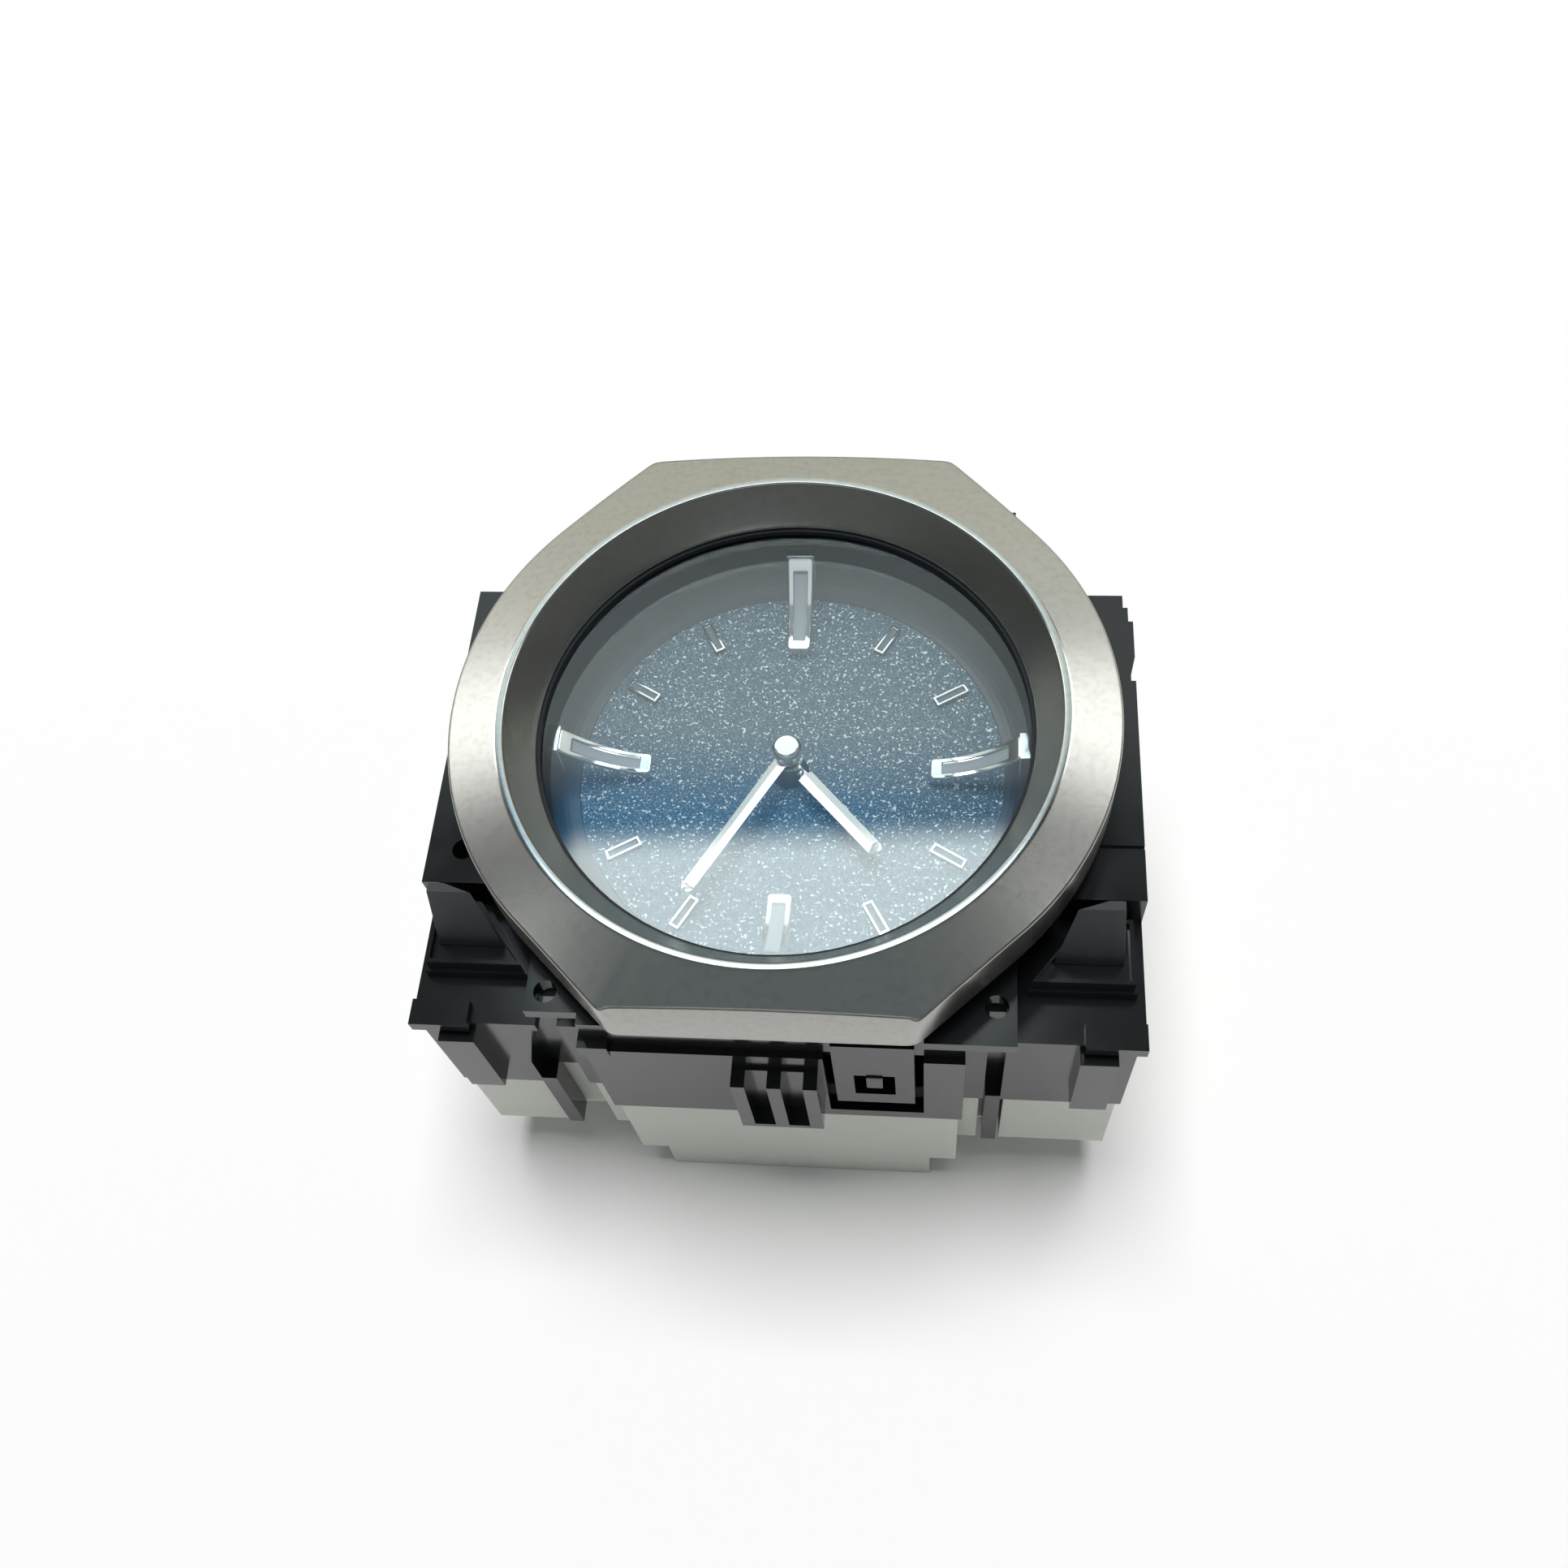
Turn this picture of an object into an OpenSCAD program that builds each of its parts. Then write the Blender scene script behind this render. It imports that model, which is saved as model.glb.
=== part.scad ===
// Car dashboard clock: a metal-look bezel and flat lens over a dished dial with
// applied markers, two hands on a geared stepper movement, a black front housing
// and a white rear case with a plug-in socket. Millimetres, +Z along the dial axis
// towards the viewer, origin on the dial axis at the face the clock rests on.
// X points to three o'clock and Y to twelve o'clock.

/* [Dial] */
// Radius of the flat dial plate
dial_r = 22.8; // [21:0.1:25]
// Thickness of the dial plate
dial_t = 0.8; // [0.5:0.1:1.2]
// Width of the dished ring round the dial plate
dish_w = 3.7; // [3:0.1:4.6]
// Height that the dished ring climbs from the dial to the lens
dish_h = 6.8; // [6.2:0.1:8]
// Wall behind the dished ring
ring_wall = 1; // [0.8:0.1:1.6]
// Thickness of the light guide behind the dial
guide_t = 2.4; // [1.6:0.1:3]

/* [Lens] */
// Thickness of the lens
lens_t = 2; // [1.5:0.1:2.4]
// How far the bezel's lip reaches in over the lens
lens_lip = 2; // [1.4:0.1:2.6]
// Thickness of the seal between lens and bezel
gasket_t = 0.6; // [0.4:0.1:1]

/* [Bezel] */
// Room between the dial carrier and the bezel's outer wall
bezel_gap = 3.5; // [3.3:0.1:4.4]
// Wall of the bezel
bezel_wall = 1.5; // [1.2:0.1:1.8]
// Width of the sloping front face, from the outer edge in to the rim
face_w = 5; // [4.4:0.1:5.4]
// Height of the rim over the outer edge
rim_rise = 1.1; // [0.8:0.1:1.6]
// Height of the cone between the lip and the rim
cone_h = 4.5; // [4.2:0.1:5.4]
// Thickness of the lip's edge
lip_t = 0.3; // [0.2:0.1:0.6]
// Height of the bezel's outer wall
side_h = 5.5; // [4.8:0.1:6]
// How far the flat at twelve o'clock cuts into the round
top_cut = 1.2; // [1:0.1:1.6]
// How far the flat at six o'clock cuts into the round
bottom_cut = 0.7; // [0.5:0.1:1.4]
// Width of the flat at twelve o'clock
top_flat_w = 33; // [30:0.1:35]
// Width of the flat at six o'clock
bottom_flat_w = 28.6; // [26:0.1:32]

/* [Markers] */
// Radius of the inner end of the four quarter markers
quarter_in = 15; // [13:0.1:16.5]
// Width of a quarter marker at its inner end
quarter_w = 2.5; // [2:0.1:3]
// Width of a quarter marker at its outer end
quarter_end_w = 3.2; // [2.6:0.1:3.8]
// Height of a quarter marker over the dial at its inner end
quarter_h = 1.4; // [1:0.1:1.8]
// Radius of the inner end of the eight batons
baton_in = 17.7; // [16.8:0.1:18.6]
// Length of a baton
baton_len = 3.9; // [3:0.1:4.4]
// Width of a baton
baton_w = 1.2; // [0.9:0.1:1.6]
// Height of a baton
baton_h = 0.6; // [0.4:0.1:0.8]

/* [Hands] */
// Hour that the stored pose shows
shown_hour = 4; // [0:1:11]
// Minute that the stored pose shows
shown_minute = 35; // [0:1:59]
// Length of the minute hand from the axis
minute_len = 18.7; // [16:0.1:20]
// Width of the minute hand at its root
minute_w = 1.5; // [1.2:0.1:2]
// Length of the hour hand from the axis
hour_len = 14.6; // [10:0.1:15]
// Width of the hour hand at its root
hour_w = 1.7; // [1.3:0.1:2.2]
// Thickness of a hand
hand_t = 0.6; // [0.4:0.1:0.7]
// Height of the hour hand's underside over the dial
hour_lift = 2.7; // [2.2:0.1:2.8]
// Radius of the cap over the hands
cap_r = 1.6; // [1.3:0.1:1.9]

/* [Front housing] */
// Wall of the dial carrier
carrier_wall = 1.2; // [1:0.1:1.6]
// Wall of the front housing
wall = 1.6; // [1.2:0.1:1.9]
// Height of the line where the front housing meets the rear case
parting_h = 23; // [22:0.1:24]
// Height of the two front ledges
ledge_h = 40.5; // [39.5:0.1:42]
// Height of the deck over the ledges
deck_rise = 5; // [4.6:0.1:5.6]
// Depth of the dial plate's face below the deck
dial_drop = 5; // [4.6:0.1:5.6]
// How far each side stands out from the dial carrier
wing_w = 6.8; // [6.4:0.1:7.6]
// How far the deck and ledges overhang the sides
overhang = 0.7; // [0.4:0.1:1]
// Clearance from the dial carrier to the outside of the front wall
front_room = 0.8; // [0.5:0.1:1.2]
// How far the skirt stands out from the front wall
skirt_out = 2.4; // [2.2:0.1:3]
// Left end of the skirt, from the dial axis
skirt_left = 18.4; // [17.5:0.1:19]
// Right end of the skirt, from the dial axis
skirt_right = 19; // [18:0.1:19.5]
// Depth of the two recesses beside the skirt, behind the front wall
notch_depth = 2.2; // [1.6:0.1:2.6]
// Thickness of the fins at the outer ends of the recesses
fin_t = 1.6; // [1.2:0.1:1.9]
// Distance from the dial axis to the deck's front corners
ear_x = 23.7; // [23.2:0.1:24.4]
// Distance from the dial axis to the front end of the side wings
wing_front = 16.5; // [16:0.1:16.9]
// Distance from the dial axis to the far end of the side wings
wing_far = 20; // [18.5:0.1:21]
// Radius of the holes in the ears and in the left wing
ear_hole_r = 1.15; // [1.1:0.05:1.4]

/* [Front fittings] */
// Width of the snap tongue
tongue_w = 8; // [7:0.1:8.6]
// Left edge of the snap tongue, from the dial axis
tongue_x = 6.1; // [5.8:0.1:7]
// Gap round the snap tongue
tongue_gap = 0.9; // [0.6:0.1:1.2]
// Width of the ribbed catch
catch_w = 8.6; // [7.6:0.1:9]
// How far the ribbed catch stands out from the skirt
catch_out = 2.2; // [1.6:0.1:2.8]
// Width of a guide rail
rail_w = 3.7; // [3:0.1:4.2]
// How far a guide rail stands out from the front wall
rail_out = 1.6; // [1.2:0.1:2]
// Height of a guide peg over its plinth
peg_h = 7.6; // [6:0.1:9]
// Height of a guide peg's plinth over the ledge
plinth_h = 3; // [2.4:0.1:3.6]

/* [Rear case] */
// Wall and floor of the rear case
rear_wall = 1.8; // [1.4:0.1:2]
// How far the rear case is set back from the front housing's outside
rear_step = 0.4; // [0.2:0.1:0.6]
// Height of the rear case's side floors over the rest face
tier_h = 8; // [7.4:0.1:9]
// Height of the middle block's floor over the rest face
block_h = 6.5; // [5.6:0.1:7]
// How far the rest block is set in from the middle block's sides
rest_inset = 3; // [2.4:0.1:4]
// Width of the plug socket's opening
socket_w = 15.6; // [13:0.1:17]
// Height of the plug socket's opening
socket_d = 7.6; // [6.4:0.1:8.6]
// Wall of the plug socket
socket_wall = 1.2; // [1:0.1:1.5]

/* [Movement] */
// Module of the going-train gears
gear_mod = 0.3; // [0.28:0.01:0.32]
// Width of a gear's rim along its axis
gear_t = 1; // [0.8:0.1:1.2]
// Distance between the gear levels
gear_step = 2.2; // [2:0.1:2.5]
// Thickness of the movement's plates
plate_t = 1.2; // [1:0.1:1.6]
// Thickness of the circuit board
board_t = 1.6; // [1.2:0.1:2]
// Radial clearance of a turning shaft in its bore
run_gap = 0.05; // [0.02:0.01:0.08]
// Clearance between fixed pieces that slide together
seat_gap = 0.1; // [0.06:0.02:0.16]

/* [Hidden] */
$fn = 96;
eps = 0.01;
rod_fn = 32;

// Heights worked out from the rest face upwards
deck_h = ledge_h + deck_rise;
dial_h = deck_h - dial_drop;
lens_h = dial_h + dish_h;
lip_h = lens_h + lens_t + gasket_t;
cone_low = lip_h + lip_t;
rim_h = cone_low + cone_h;
edge_h = rim_h - rim_rise;
side_low = edge_h - side_h;

// Radii worked out from the dial outwards
ring_r = dial_r + dish_w + ring_wall;
dish_r = dial_r + dish_w;
carrier_bore = ring_r + seat_gap;
carrier_r = carrier_bore + carrier_wall;
cone_r = ring_r - lens_lip;
bezel_r = carrier_r + bezel_gap + bezel_wall;
rim_r = bezel_r - face_w;

// Bezel posts, in the room between carrier and outer wall
bezel_post_r = 1.2;
bezel_post_at = carrier_r + bezel_gap / 2;
bezel_post_angles = [60, 120, 243, 297];
bezel_screw_r = 0.7;
bezel_screw_head_r = 1.5;
bezel_screw_head_t = 0.9;
bezel_screw_reach = 3.2;

// Plan of the front housing
side_x = carrier_r + wing_w;
wall_y = carrier_r + front_room;
skirt_y = wall_y + skirt_out;
upper_y = wall_y + wall;
notch_y = wall_y - notch_depth;
far_room = 2.7;
far_y = carrier_r + far_room;
neck_room = 3.2;
neck_x = sqrt(pow(carrier_r, 2) - pow(wing_far, 2)) + neck_room;
notch_left = 26.6;
notch_left_w = 5.1;
notch_right = 23;
notch_right_w = fin_t + 0.2;
ear_left_y = wall_y + 0.4;
ear_right_y = skirt_y - 0.2;
deck_t = wall;
fin_low = tier_h + 0.4;
deck_x = side_x + overhang;

// Outline of the body, with its skirt in front between two upright recesses
body_plan = [[-side_x, -wall_y], [-notch_left, -wall_y], [-notch_left, -notch_y],
    [-notch_left + notch_left_w, -notch_y], [-notch_left + notch_left_w, -wall_y], [-skirt_left, -wall_y],
    [-skirt_left, -skirt_y], [skirt_right, -skirt_y], [skirt_right, -wall_y],
    [notch_right - notch_right_w, -wall_y], [notch_right - notch_right_w, -notch_y], [notch_right, -notch_y],
    [notch_right, -wall_y], [side_x, -wall_y], [side_x, wing_far],
    [neck_x, wing_far], [neck_x, far_y], [-neck_x, far_y], [-neck_x, wing_far], [-side_x, wing_far]];
deck_plan = [[-deck_x, -wing_front], [-ear_x, -wing_front], [-ear_x, -notch_y], [-skirt_left, -notch_y],
    [-skirt_left, -upper_y], [skirt_right, -upper_y], [skirt_right, -notch_y], [ear_x, -notch_y],
    [ear_x, -wing_front], [deck_x, -wing_front], [deck_x, wing_far], [neck_x, wing_far], [neck_x, far_y],
    [-neck_x, far_y], [-neck_x, wing_far], [-deck_x, wing_far]];

// Screws that hold the rear case, driven from behind
case_screw_r = 0.9;
case_screw_tip_r = 0.65;
case_screw_head_r = 1.9;
case_screw_head_t = 1.4;
case_screw_seat = parting_h - 2.5;
case_screw_len = 17;
case_screw_point = 1.2;
case_screw_tip = case_screw_seat + case_screw_len;
case_post_r = 2.4;
case_screw_in = 3;
case_screw_near = -wing_front + 3.8;
case_screw_far = wing_far - 4.6;
case_screws_at = [for (s = [-1, 1], y = [case_screw_near, case_screw_far]) [s * (side_x - case_screw_in), y]];

// Plain holes in the ears, and a blind one in the left wing
ear_hole_in = 1.9;
ear_hole_back = 1.7;
ear_holes = [for (s = [-1, 1]) [s * (ear_x - ear_hole_in), -wall_y + ear_hole_back]];
wing_hole = [-side_x + case_screw_in, case_screw_near];
wing_hole_d = 3.2;

// Plinths of the guide pegs, with their inner sides clear of the bezel
plinth_clear = 1.3;
plinth_out = 1.2;
plinth_near = -wall_y + 5.2;
plinth_far = -wing_front - 1.1;
plinth_tray = 0.8;
plinth_rim = 0.4;
peg_set_in = 1;
peg_front_in = 1.2;

// Rear case
block_left = skirt_left - rear_step;
block_right = skirt_right - rear_step;
block_front = skirt_y - rear_step;
block_far_out = 2;
block_far = wing_far + block_far_out;
lip_up = 1.5;
socket_y = 11;
socket_pin_count = 4;
socket_pin = 0.6;
socket_pin_out = 5.5;
socket_floor = 3;
socket_nose = 0.6;

// Movement levels, from the dial carrier's shelf downwards
shelf_t = 1.2;
shelf_bore = dial_r + 0.1;
shelf_top = dial_h - dial_t - guide_t;
movement_post_h = 2.6;
movement_post_r = 1.8;
movement_post_at = (shelf_bore + carrier_bore) / 2;
movement_post_angles = [90, 210, 330];
front_plate_top = shelf_top - shelf_t - movement_post_h;
front_plate_low = front_plate_top - plate_t;
level_hour = front_plate_low - 1.9;
level_minute = level_hour - gear_step;
level_centre = level_minute - gear_step;
level_third = level_centre - gear_step - 0.2;
magnet_h = 2.6;
magnet_low = level_third - 3.8;
back_plate_top = magnet_low - 1.4;
back_plate_low = back_plate_top - plate_t;
board_under = 1.8;
board_h = back_plate_low - board_under - board_t;
board_top = board_h + board_t;
plate_r = 20;
plate_arm_w = 3.6;

// Gear train: teeth, and the places of the arbors
centre_teeth = 60;
pinion_teeth = 10;
third_teeth = 50;
cannon_teeth = 12;
minute_teeth = 36;
hour_teeth = 40;
pinion_extra = 0.4;
tooth_tip = 0.75;
tooth_root = 1.15;
tooth_slack = 0.09;
pressure_angle = 20;
third_far = (centre_teeth + pinion_teeth) / 2 * gear_mod;
third_angle = 200;
rotor_far = (third_teeth + pinion_teeth) / 2 * gear_mod;
rotor_angle = 300;
minute_far = (hour_teeth + pinion_teeth) / 2 * gear_mod;
minute_angle = 90;
motion_mod = minute_far * 2 / (cannon_teeth + minute_teeth);
third_at = polar(third_far, third_angle);
rotor_at = third_at + polar(rotor_far, rotor_angle);
minute_at = polar(minute_far, minute_angle);

arbor_r = 0.6;
pipe_r = 1.05;
pivot_r = 0.45;
small_arbor_r = 0.7;
stud_r = 0.75;
magnet_r = 2;
magnet_air = 0.4;
pillar_r = 1.4;
pillar_at = 17.5;
pillar_angles = [40, 140, 320];
stator_len = 24;
stator_t = 1;
stator_w = 6;
core_w = 2;
core_off = 6.6;
coil_r = 2.4;
coil_len = 16;
flange_t = 0.8;
lead_r = 0.3;

board_w = 54;
board_near = 21.5;
board_far = wing_far - rear_step - rear_wall - 0.6;
board_post_in = 3;
board_post_r = 2.2;
board_screw_r = 0.8;
board_screw_head_r = 1.7;
board_screw_len = 3.4;
lamp_size = 3;
lamp_h = 1.4;
lamp_at = [[-20, -8], [20, -8], [-20, 8], [20, 8]];

// Heights of the hands
hour_hand_z = dial_h + hour_lift;
minute_hand_z = hour_hand_z + hand_t + 0.6;
cap_z = minute_hand_z + hand_t;
cap_h = 1.2;
hub_r = 1.5;
hour_body = 2.8;
minute_body = 1;
press_gap = 0.02;
minute_turn = -6 * shown_minute;
hour_turn = -30 * shown_hour - shown_minute / 2;

// Colours as the photograph shows them
satin_nickel = [0.62, 0.60, 0.55];
bright_metal = [0.82, 0.83, 0.84];
black_plastic = [0.05, 0.06, 0.08];
soft_black = [0.10, 0.11, 0.12];
milky_white = [0.86, 0.86, 0.82];
dial_slate = [0.16, 0.20, 0.25];
clear_glass = [0.8, 0.9, 1, 0.25];
board_green = [0.05, 0.30, 0.16];
copper = [0.72, 0.40, 0.20];
brass_yellow = [0.80, 0.66, 0.34];

// A point at radius r and angle a in the plane
function polar(r, a) = [r * cos(a), r * sin(a)];

// Direction from one plan point to the next
function heading(a, b) = (b - a) / norm(b - a);

// A right-angled outline with every side moved inwards by t
function shrink(p, t) = [for (i = [0 : len(p) - 1])
    let (a = p[(i + len(p) - 1) % len(p)], c = p[(i + 1) % len(p)], u = heading(a, p[i]), v = heading(p[i], c))
    p[i] + t * [-u.y - v.y, u.x + v.x]];

// Corners of a rectangle between two x and two y values
function rect(x0, x1, y0, y1) = [[x0, y0], [x1, y0], [x1, y1], [x0, y1]];

// A quarter of an ellipse that leaves the dial level and meets the lens upright
dish_steps = 10;
function dish_curve(r0, r1, z0, z1) = [for (i = [0 : dish_steps])
    let (a = 90 * i / dish_steps) [r0 + (r1 - r0) * sin(a), z0 + (z1 - z0) * (1 - cos(a))]];

// Involute of a base circle, in degrees, at radius r
function involute(base, r) = let (a = acos(min(1, base / r))) tan(a) * 180 / PI - a;

// Outline of an involute gear with one tooth centred on the angle phase
function gear_outline(teeth, m, phase) =
    let (rp = teeth * m / 2, rb = rp * cos(pressure_angle), tip = rp + tooth_tip * m, root = rp - tooth_root * m,
        radii = [root, max(root + eps, rb), (rb + tip) / 2, tip],
        half_at_pitch = 90 / teeth - tooth_slack / rp * 90 / PI,
        half = [for (r = radii) half_at_pitch + involute(rb, rp) - involute(rb, max(r, rb))])
    [for (i = [0 : teeth - 1]) let (c = phase + i * 360 / teeth)
        each concat([for (k = [0 : 3]) polar(radii[k], c - half[k])],
            [for (k = [3 : -1 : 0]) polar(radii[k], c + half[k])])];

// An upright solid over a plan outline
module prism(points, low, high) {
    translate([0, 0, low]) linear_extrude(high - low) polygon(points);
}

// An upright rod
module rod(r, low, high, fn = rod_fn) {
    translate([0, 0, low]) cylinder(r = r, h = high - low, $fn = fn);
}

// A box between two corners
module block(a, b) {
    translate(a) cube(b - a);
}

// Copies at plan points
module at_points(points) {
    for (p = points) translate([p.x, p.y, 0]) children();
}

// Copies round the dial axis
module round_axis(radius, angles) {
    at_points([for (a = angles) polar(radius, a)]) children();
}

// A gear with its rim at the given height
module gear(teeth, m, low, high, phase) {
    translate([0, 0, low]) linear_extrude(high - low) polygon(gear_outline(teeth, m, phase));
}

// Barrel outline: round sides, two flats, and straight runs that lead from the flats' corners into the round
module barrel(r, top, bottom, top_half, bottom_half, low, high) {
    lead = 4;
    inside = 0.995 * r;
    corner_top = [top_half, top];
    corner_low = [bottom_half, -bottom];
    touch_top = atan2(corner_top.y, corner_top.x) - acos(min(1, r / norm(corner_top))) - lead;
    touch_low = atan2(corner_low.y, corner_low.x) + acos(min(1, r / norm(corner_low))) + lead;
    right = [corner_low, polar(inside, touch_low), polar(inside, touch_top), corner_top];
    left = [for (i = [len(right) - 1 : -1 : 0]) [-right[i].x, right[i].y]];
    intersection() {
        union() {
            rod(r, low, high, 180);
            prism(concat(right, left), low, high);
        }
        block([-2 * r, -bottom, low - 1], [2 * r, top, high + 1]);
    }
}

// The bezel's outline, set in by t
module bezel_barrel(t, low, high) {
    corner_pull = 0.3;
    barrel(bezel_r - t, bezel_r - top_cut - t, bezel_r - bottom_cut - t, top_flat_w / 2 - corner_pull * t,
        bottom_flat_w / 2 - corner_pull * t, low, high);
}

// Plated ring: sloping face, raised rim, inner cone down to the lip, hollow behind, four screw posts
module bezel() {
    slope = rim_rise / face_w;
    reach = 1.2 * bezel_r;
    below = side_low - 1;
    roof_drop = 1.4 * bezel_wall;
    roof_r = rim_r + 0.4 * bezel_wall;
    color(satin_nickel) {
        difference() {
            intersection() {
                bezel_barrel(0, side_low, rim_h + 1);
                rotate_extrude($fn = 180) polygon([[cone_r, below], [cone_r, cone_low], [rim_r, rim_h],
                    [reach, rim_h - slope * (reach - rim_r)], [reach, below]]);
            }
            intersection() {
                bezel_barrel(bezel_wall, below - 1, rim_h + 1);
                rotate_extrude($fn = 180) polygon([[cone_r - 1, below - 1], [cone_r - 1, lip_h], [ring_r, lip_h],
                    [roof_r, rim_h - roof_drop], [reach, rim_h - roof_drop - slope * (reach - roof_r)],
                    [reach, below - 1]]);
            }
        }
        bezel_posts();
    }
}

// Posts under the bezel's face that stand on the deck
module bezel_posts() {
    post_top = edge_h - 0.6;
    round_axis(bezel_post_at, bezel_post_angles) difference() {
        rod(bezel_post_r, deck_h, post_top);
        rod(bezel_screw_r + run_gap, deck_h - 1, deck_h + bezel_screw_reach + 0.4);
    }
}

// Four screws up through the deck into the bezel's posts
module bezel_screws() {
    under = deck_h - deck_t;
    color(bright_metal) round_axis(bezel_post_at, bezel_post_angles) {
        rod(bezel_screw_r, under - eps, deck_h + bezel_screw_reach);
        rod(bezel_screw_head_r, under - bezel_screw_head_t, under);
    }
}

// Soft black ring between the lens and the bezel's lip
module gasket() {
    color(soft_black) difference() {
        rod(ring_r - seat_gap, lens_h + lens_t, lip_h, 180);
        rod(cone_r - 0.3, lens_h, lip_h + 1, 180);
    }
}

// Flat clear lens with a small chamfer on its front edge
module lens() {
    edge = 0.3;
    r = ring_r - seat_gap;
    color(clear_glass) rotate_extrude($fn = 180) polygon([[0, lens_h], [r, lens_h], [r, lens_h + lens_t - edge],
        [r - edge, lens_h + lens_t], [0, lens_h + lens_t]]);
}

// Smooth dished ring that climbs from the dial plate to the lens
module dial_ring() {
    low = dial_h - dial_t;
    inner = dial_r + seat_gap;
    color(dial_slate) rotate_extrude($fn = 180) polygon(concat([[inner, low]],
        dish_curve(inner, dish_r, dial_h, lens_h), [[ring_r, lens_h], [ring_r, low]]));
}

// Flat dial plate with a hole for the hands' pipe
module dial_plate() {
    color(dial_slate) difference() {
        rod(dial_r, dial_h - dial_t, dial_h, 180);
        rod(pipe_r + 1, dial_h - 2 * dial_t, dial_h + 1);
    }
}

// One quarter marker along +X: a grooved bar that curves up the dish to a level pad under the lens
module quarter_marker() {
    steps = 10;
    out = dish_r - 1;
    pad = 1.4;
    pad_lift = 0.2;
    clear = 0.15;
    pad_top = dish_h - 0.4;
    bar_end = out - pad;
    rise = pad_top - pad_lift - quarter_h;
    run = bar_end - quarter_in;
    top = [for (i = [0 : steps]) let (s = i / steps) [quarter_in + run * s, quarter_h + rise * s * s]];
    floor_curve = [for (p = dish_curve(dial_r - clear, dish_r - clear, 0, dish_h)) if (p.x < out) p];
    side = concat([[quarter_in, 0]], floor_curve, [[out, pad_top], [bar_end, pad_top]],
        [for (i = [steps : -1 : 0]) top[i]]);
    groove_in = 1.1;
    groove_end = 0.5;
    groove_d = 0.5;
    groove_share = 0.42;
    groove = concat([for (p = top) p - [0, groove_d]], [[bar_end, dish_h + 2], [quarter_in, dish_h + 2]]);
    plan = [[quarter_in, -quarter_w / 2], [out, -quarter_end_w / 2], [out, quarter_end_w / 2],
        [quarter_in, quarter_w / 2]];
    groove_plan = [[quarter_in + groove_in, -quarter_w / 2 * groove_share],
        [bar_end - groove_end, -quarter_end_w / 2 * groove_share],
        [bar_end - groove_end, quarter_end_w / 2 * groove_share],
        [quarter_in + groove_in, quarter_w / 2 * groove_share]];
    translate([0, 0, dial_h]) difference() {
        intersection() {
            rotate([90, 0, 0]) translate([0, 0, -quarter_end_w]) linear_extrude(2 * quarter_end_w) polygon(side);
            prism(plan, -1, dish_h + 1);
        }
        intersection() {
            rotate([90, 0, 0]) translate([0, 0, -quarter_end_w]) linear_extrude(2 * quarter_end_w) polygon(groove);
            prism(groove_plan, -1, dish_h + 1);
        }
    }
}

// Bright applied markers at twelve, three, six and nine o'clock
module quarter_markers() {
    color(bright_metal) for (i = [0 : 3]) rotate(90 * i) quarter_marker();
}

// Eight framed batons for the other hours
module hour_batons() {
    frame = 0.28;
    sunk = 0.25;
    half = baton_w / 2;
    color(bright_metal) for (i = [0 : 11]) if (i % 3 != 0) rotate(30 * i) difference() {
        block([baton_in, -half, dial_h], [baton_in + baton_len, half, dial_h + baton_h]);
        block([baton_in + frame, frame - half, dial_h + baton_h - sunk],
            [baton_in + baton_len - frame, half - frame, dial_h + baton_h + 1]);
    }
}

// A hand along +X: a roof of two facets with a hipped, blunted tip, on a hub ring
module hand(from, len, w, tip_w, bore, low) {
    half = w / 2;
    eave = 0.2;
    neck_w = 0.9;
    hub_h = 0.8 * hand_t;
    plan = [[from, -half], [len - tip_w * 0.35, -tip_w / 2], [len, -tip_w * 0.3], [len, tip_w * 0.3],
        [len - tip_w * 0.35, tip_w / 2], [from, half]];
    section = [[-half, 0], [half, 0], [half, eave], [0, hand_t], [-half, eave]];
    side = [[0, 0], [len, 0], [len, eave], [len - half, hand_t], [0, hand_t]];
    translate([0, 0, low]) difference() {
        union() {
            intersection() {
                prism(plan, 0, hand_t);
                rotate([90, 0, 90]) linear_extrude(len) polygon(section);
                rotate([90, 0, 0]) translate([0, 0, -w]) linear_extrude(2 * w) polygon(side);
            }
            block([0, -neck_w / 2, 0], [from + half, neck_w / 2, eave / 2]);
            rod(hub_r, 0, hub_h);
        }
        rod(bore, -1, hand_t + 1);
    }
}

module minute_hand() {
    color(bright_metal) rotate(90 + minute_turn)
        hand(minute_body, minute_len, minute_w, 0.86 * minute_w, arbor_r + press_gap, minute_hand_z);
}

module hour_hand() {
    color(bright_metal) rotate(90 + hour_turn)
        hand(hour_body, hour_len, hour_w, 0.94 * hour_w, pipe_r + press_gap, hour_hand_z);
}

// Bright cap pressed on the end of the minute arbor
module hand_cap() {
    edge = 0.4;
    color(bright_metal) rotate_extrude($fn = rod_fn) polygon([[0, cap_z], [cap_r, cap_z], [cap_r, cap_z + cap_h - edge],
        [cap_r - edge, cap_z + cap_h], [0, cap_z + cap_h]]);
}

// Clear disc behind the dial that spreads the lamps' light
module light_guide() {
    color(clear_glass) difference() {
        rod(ring_r, shelf_top, shelf_top + guide_t, 180);
        rod(pipe_r + 1.4, shelf_top - 1, dial_h);
    }
}

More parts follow.
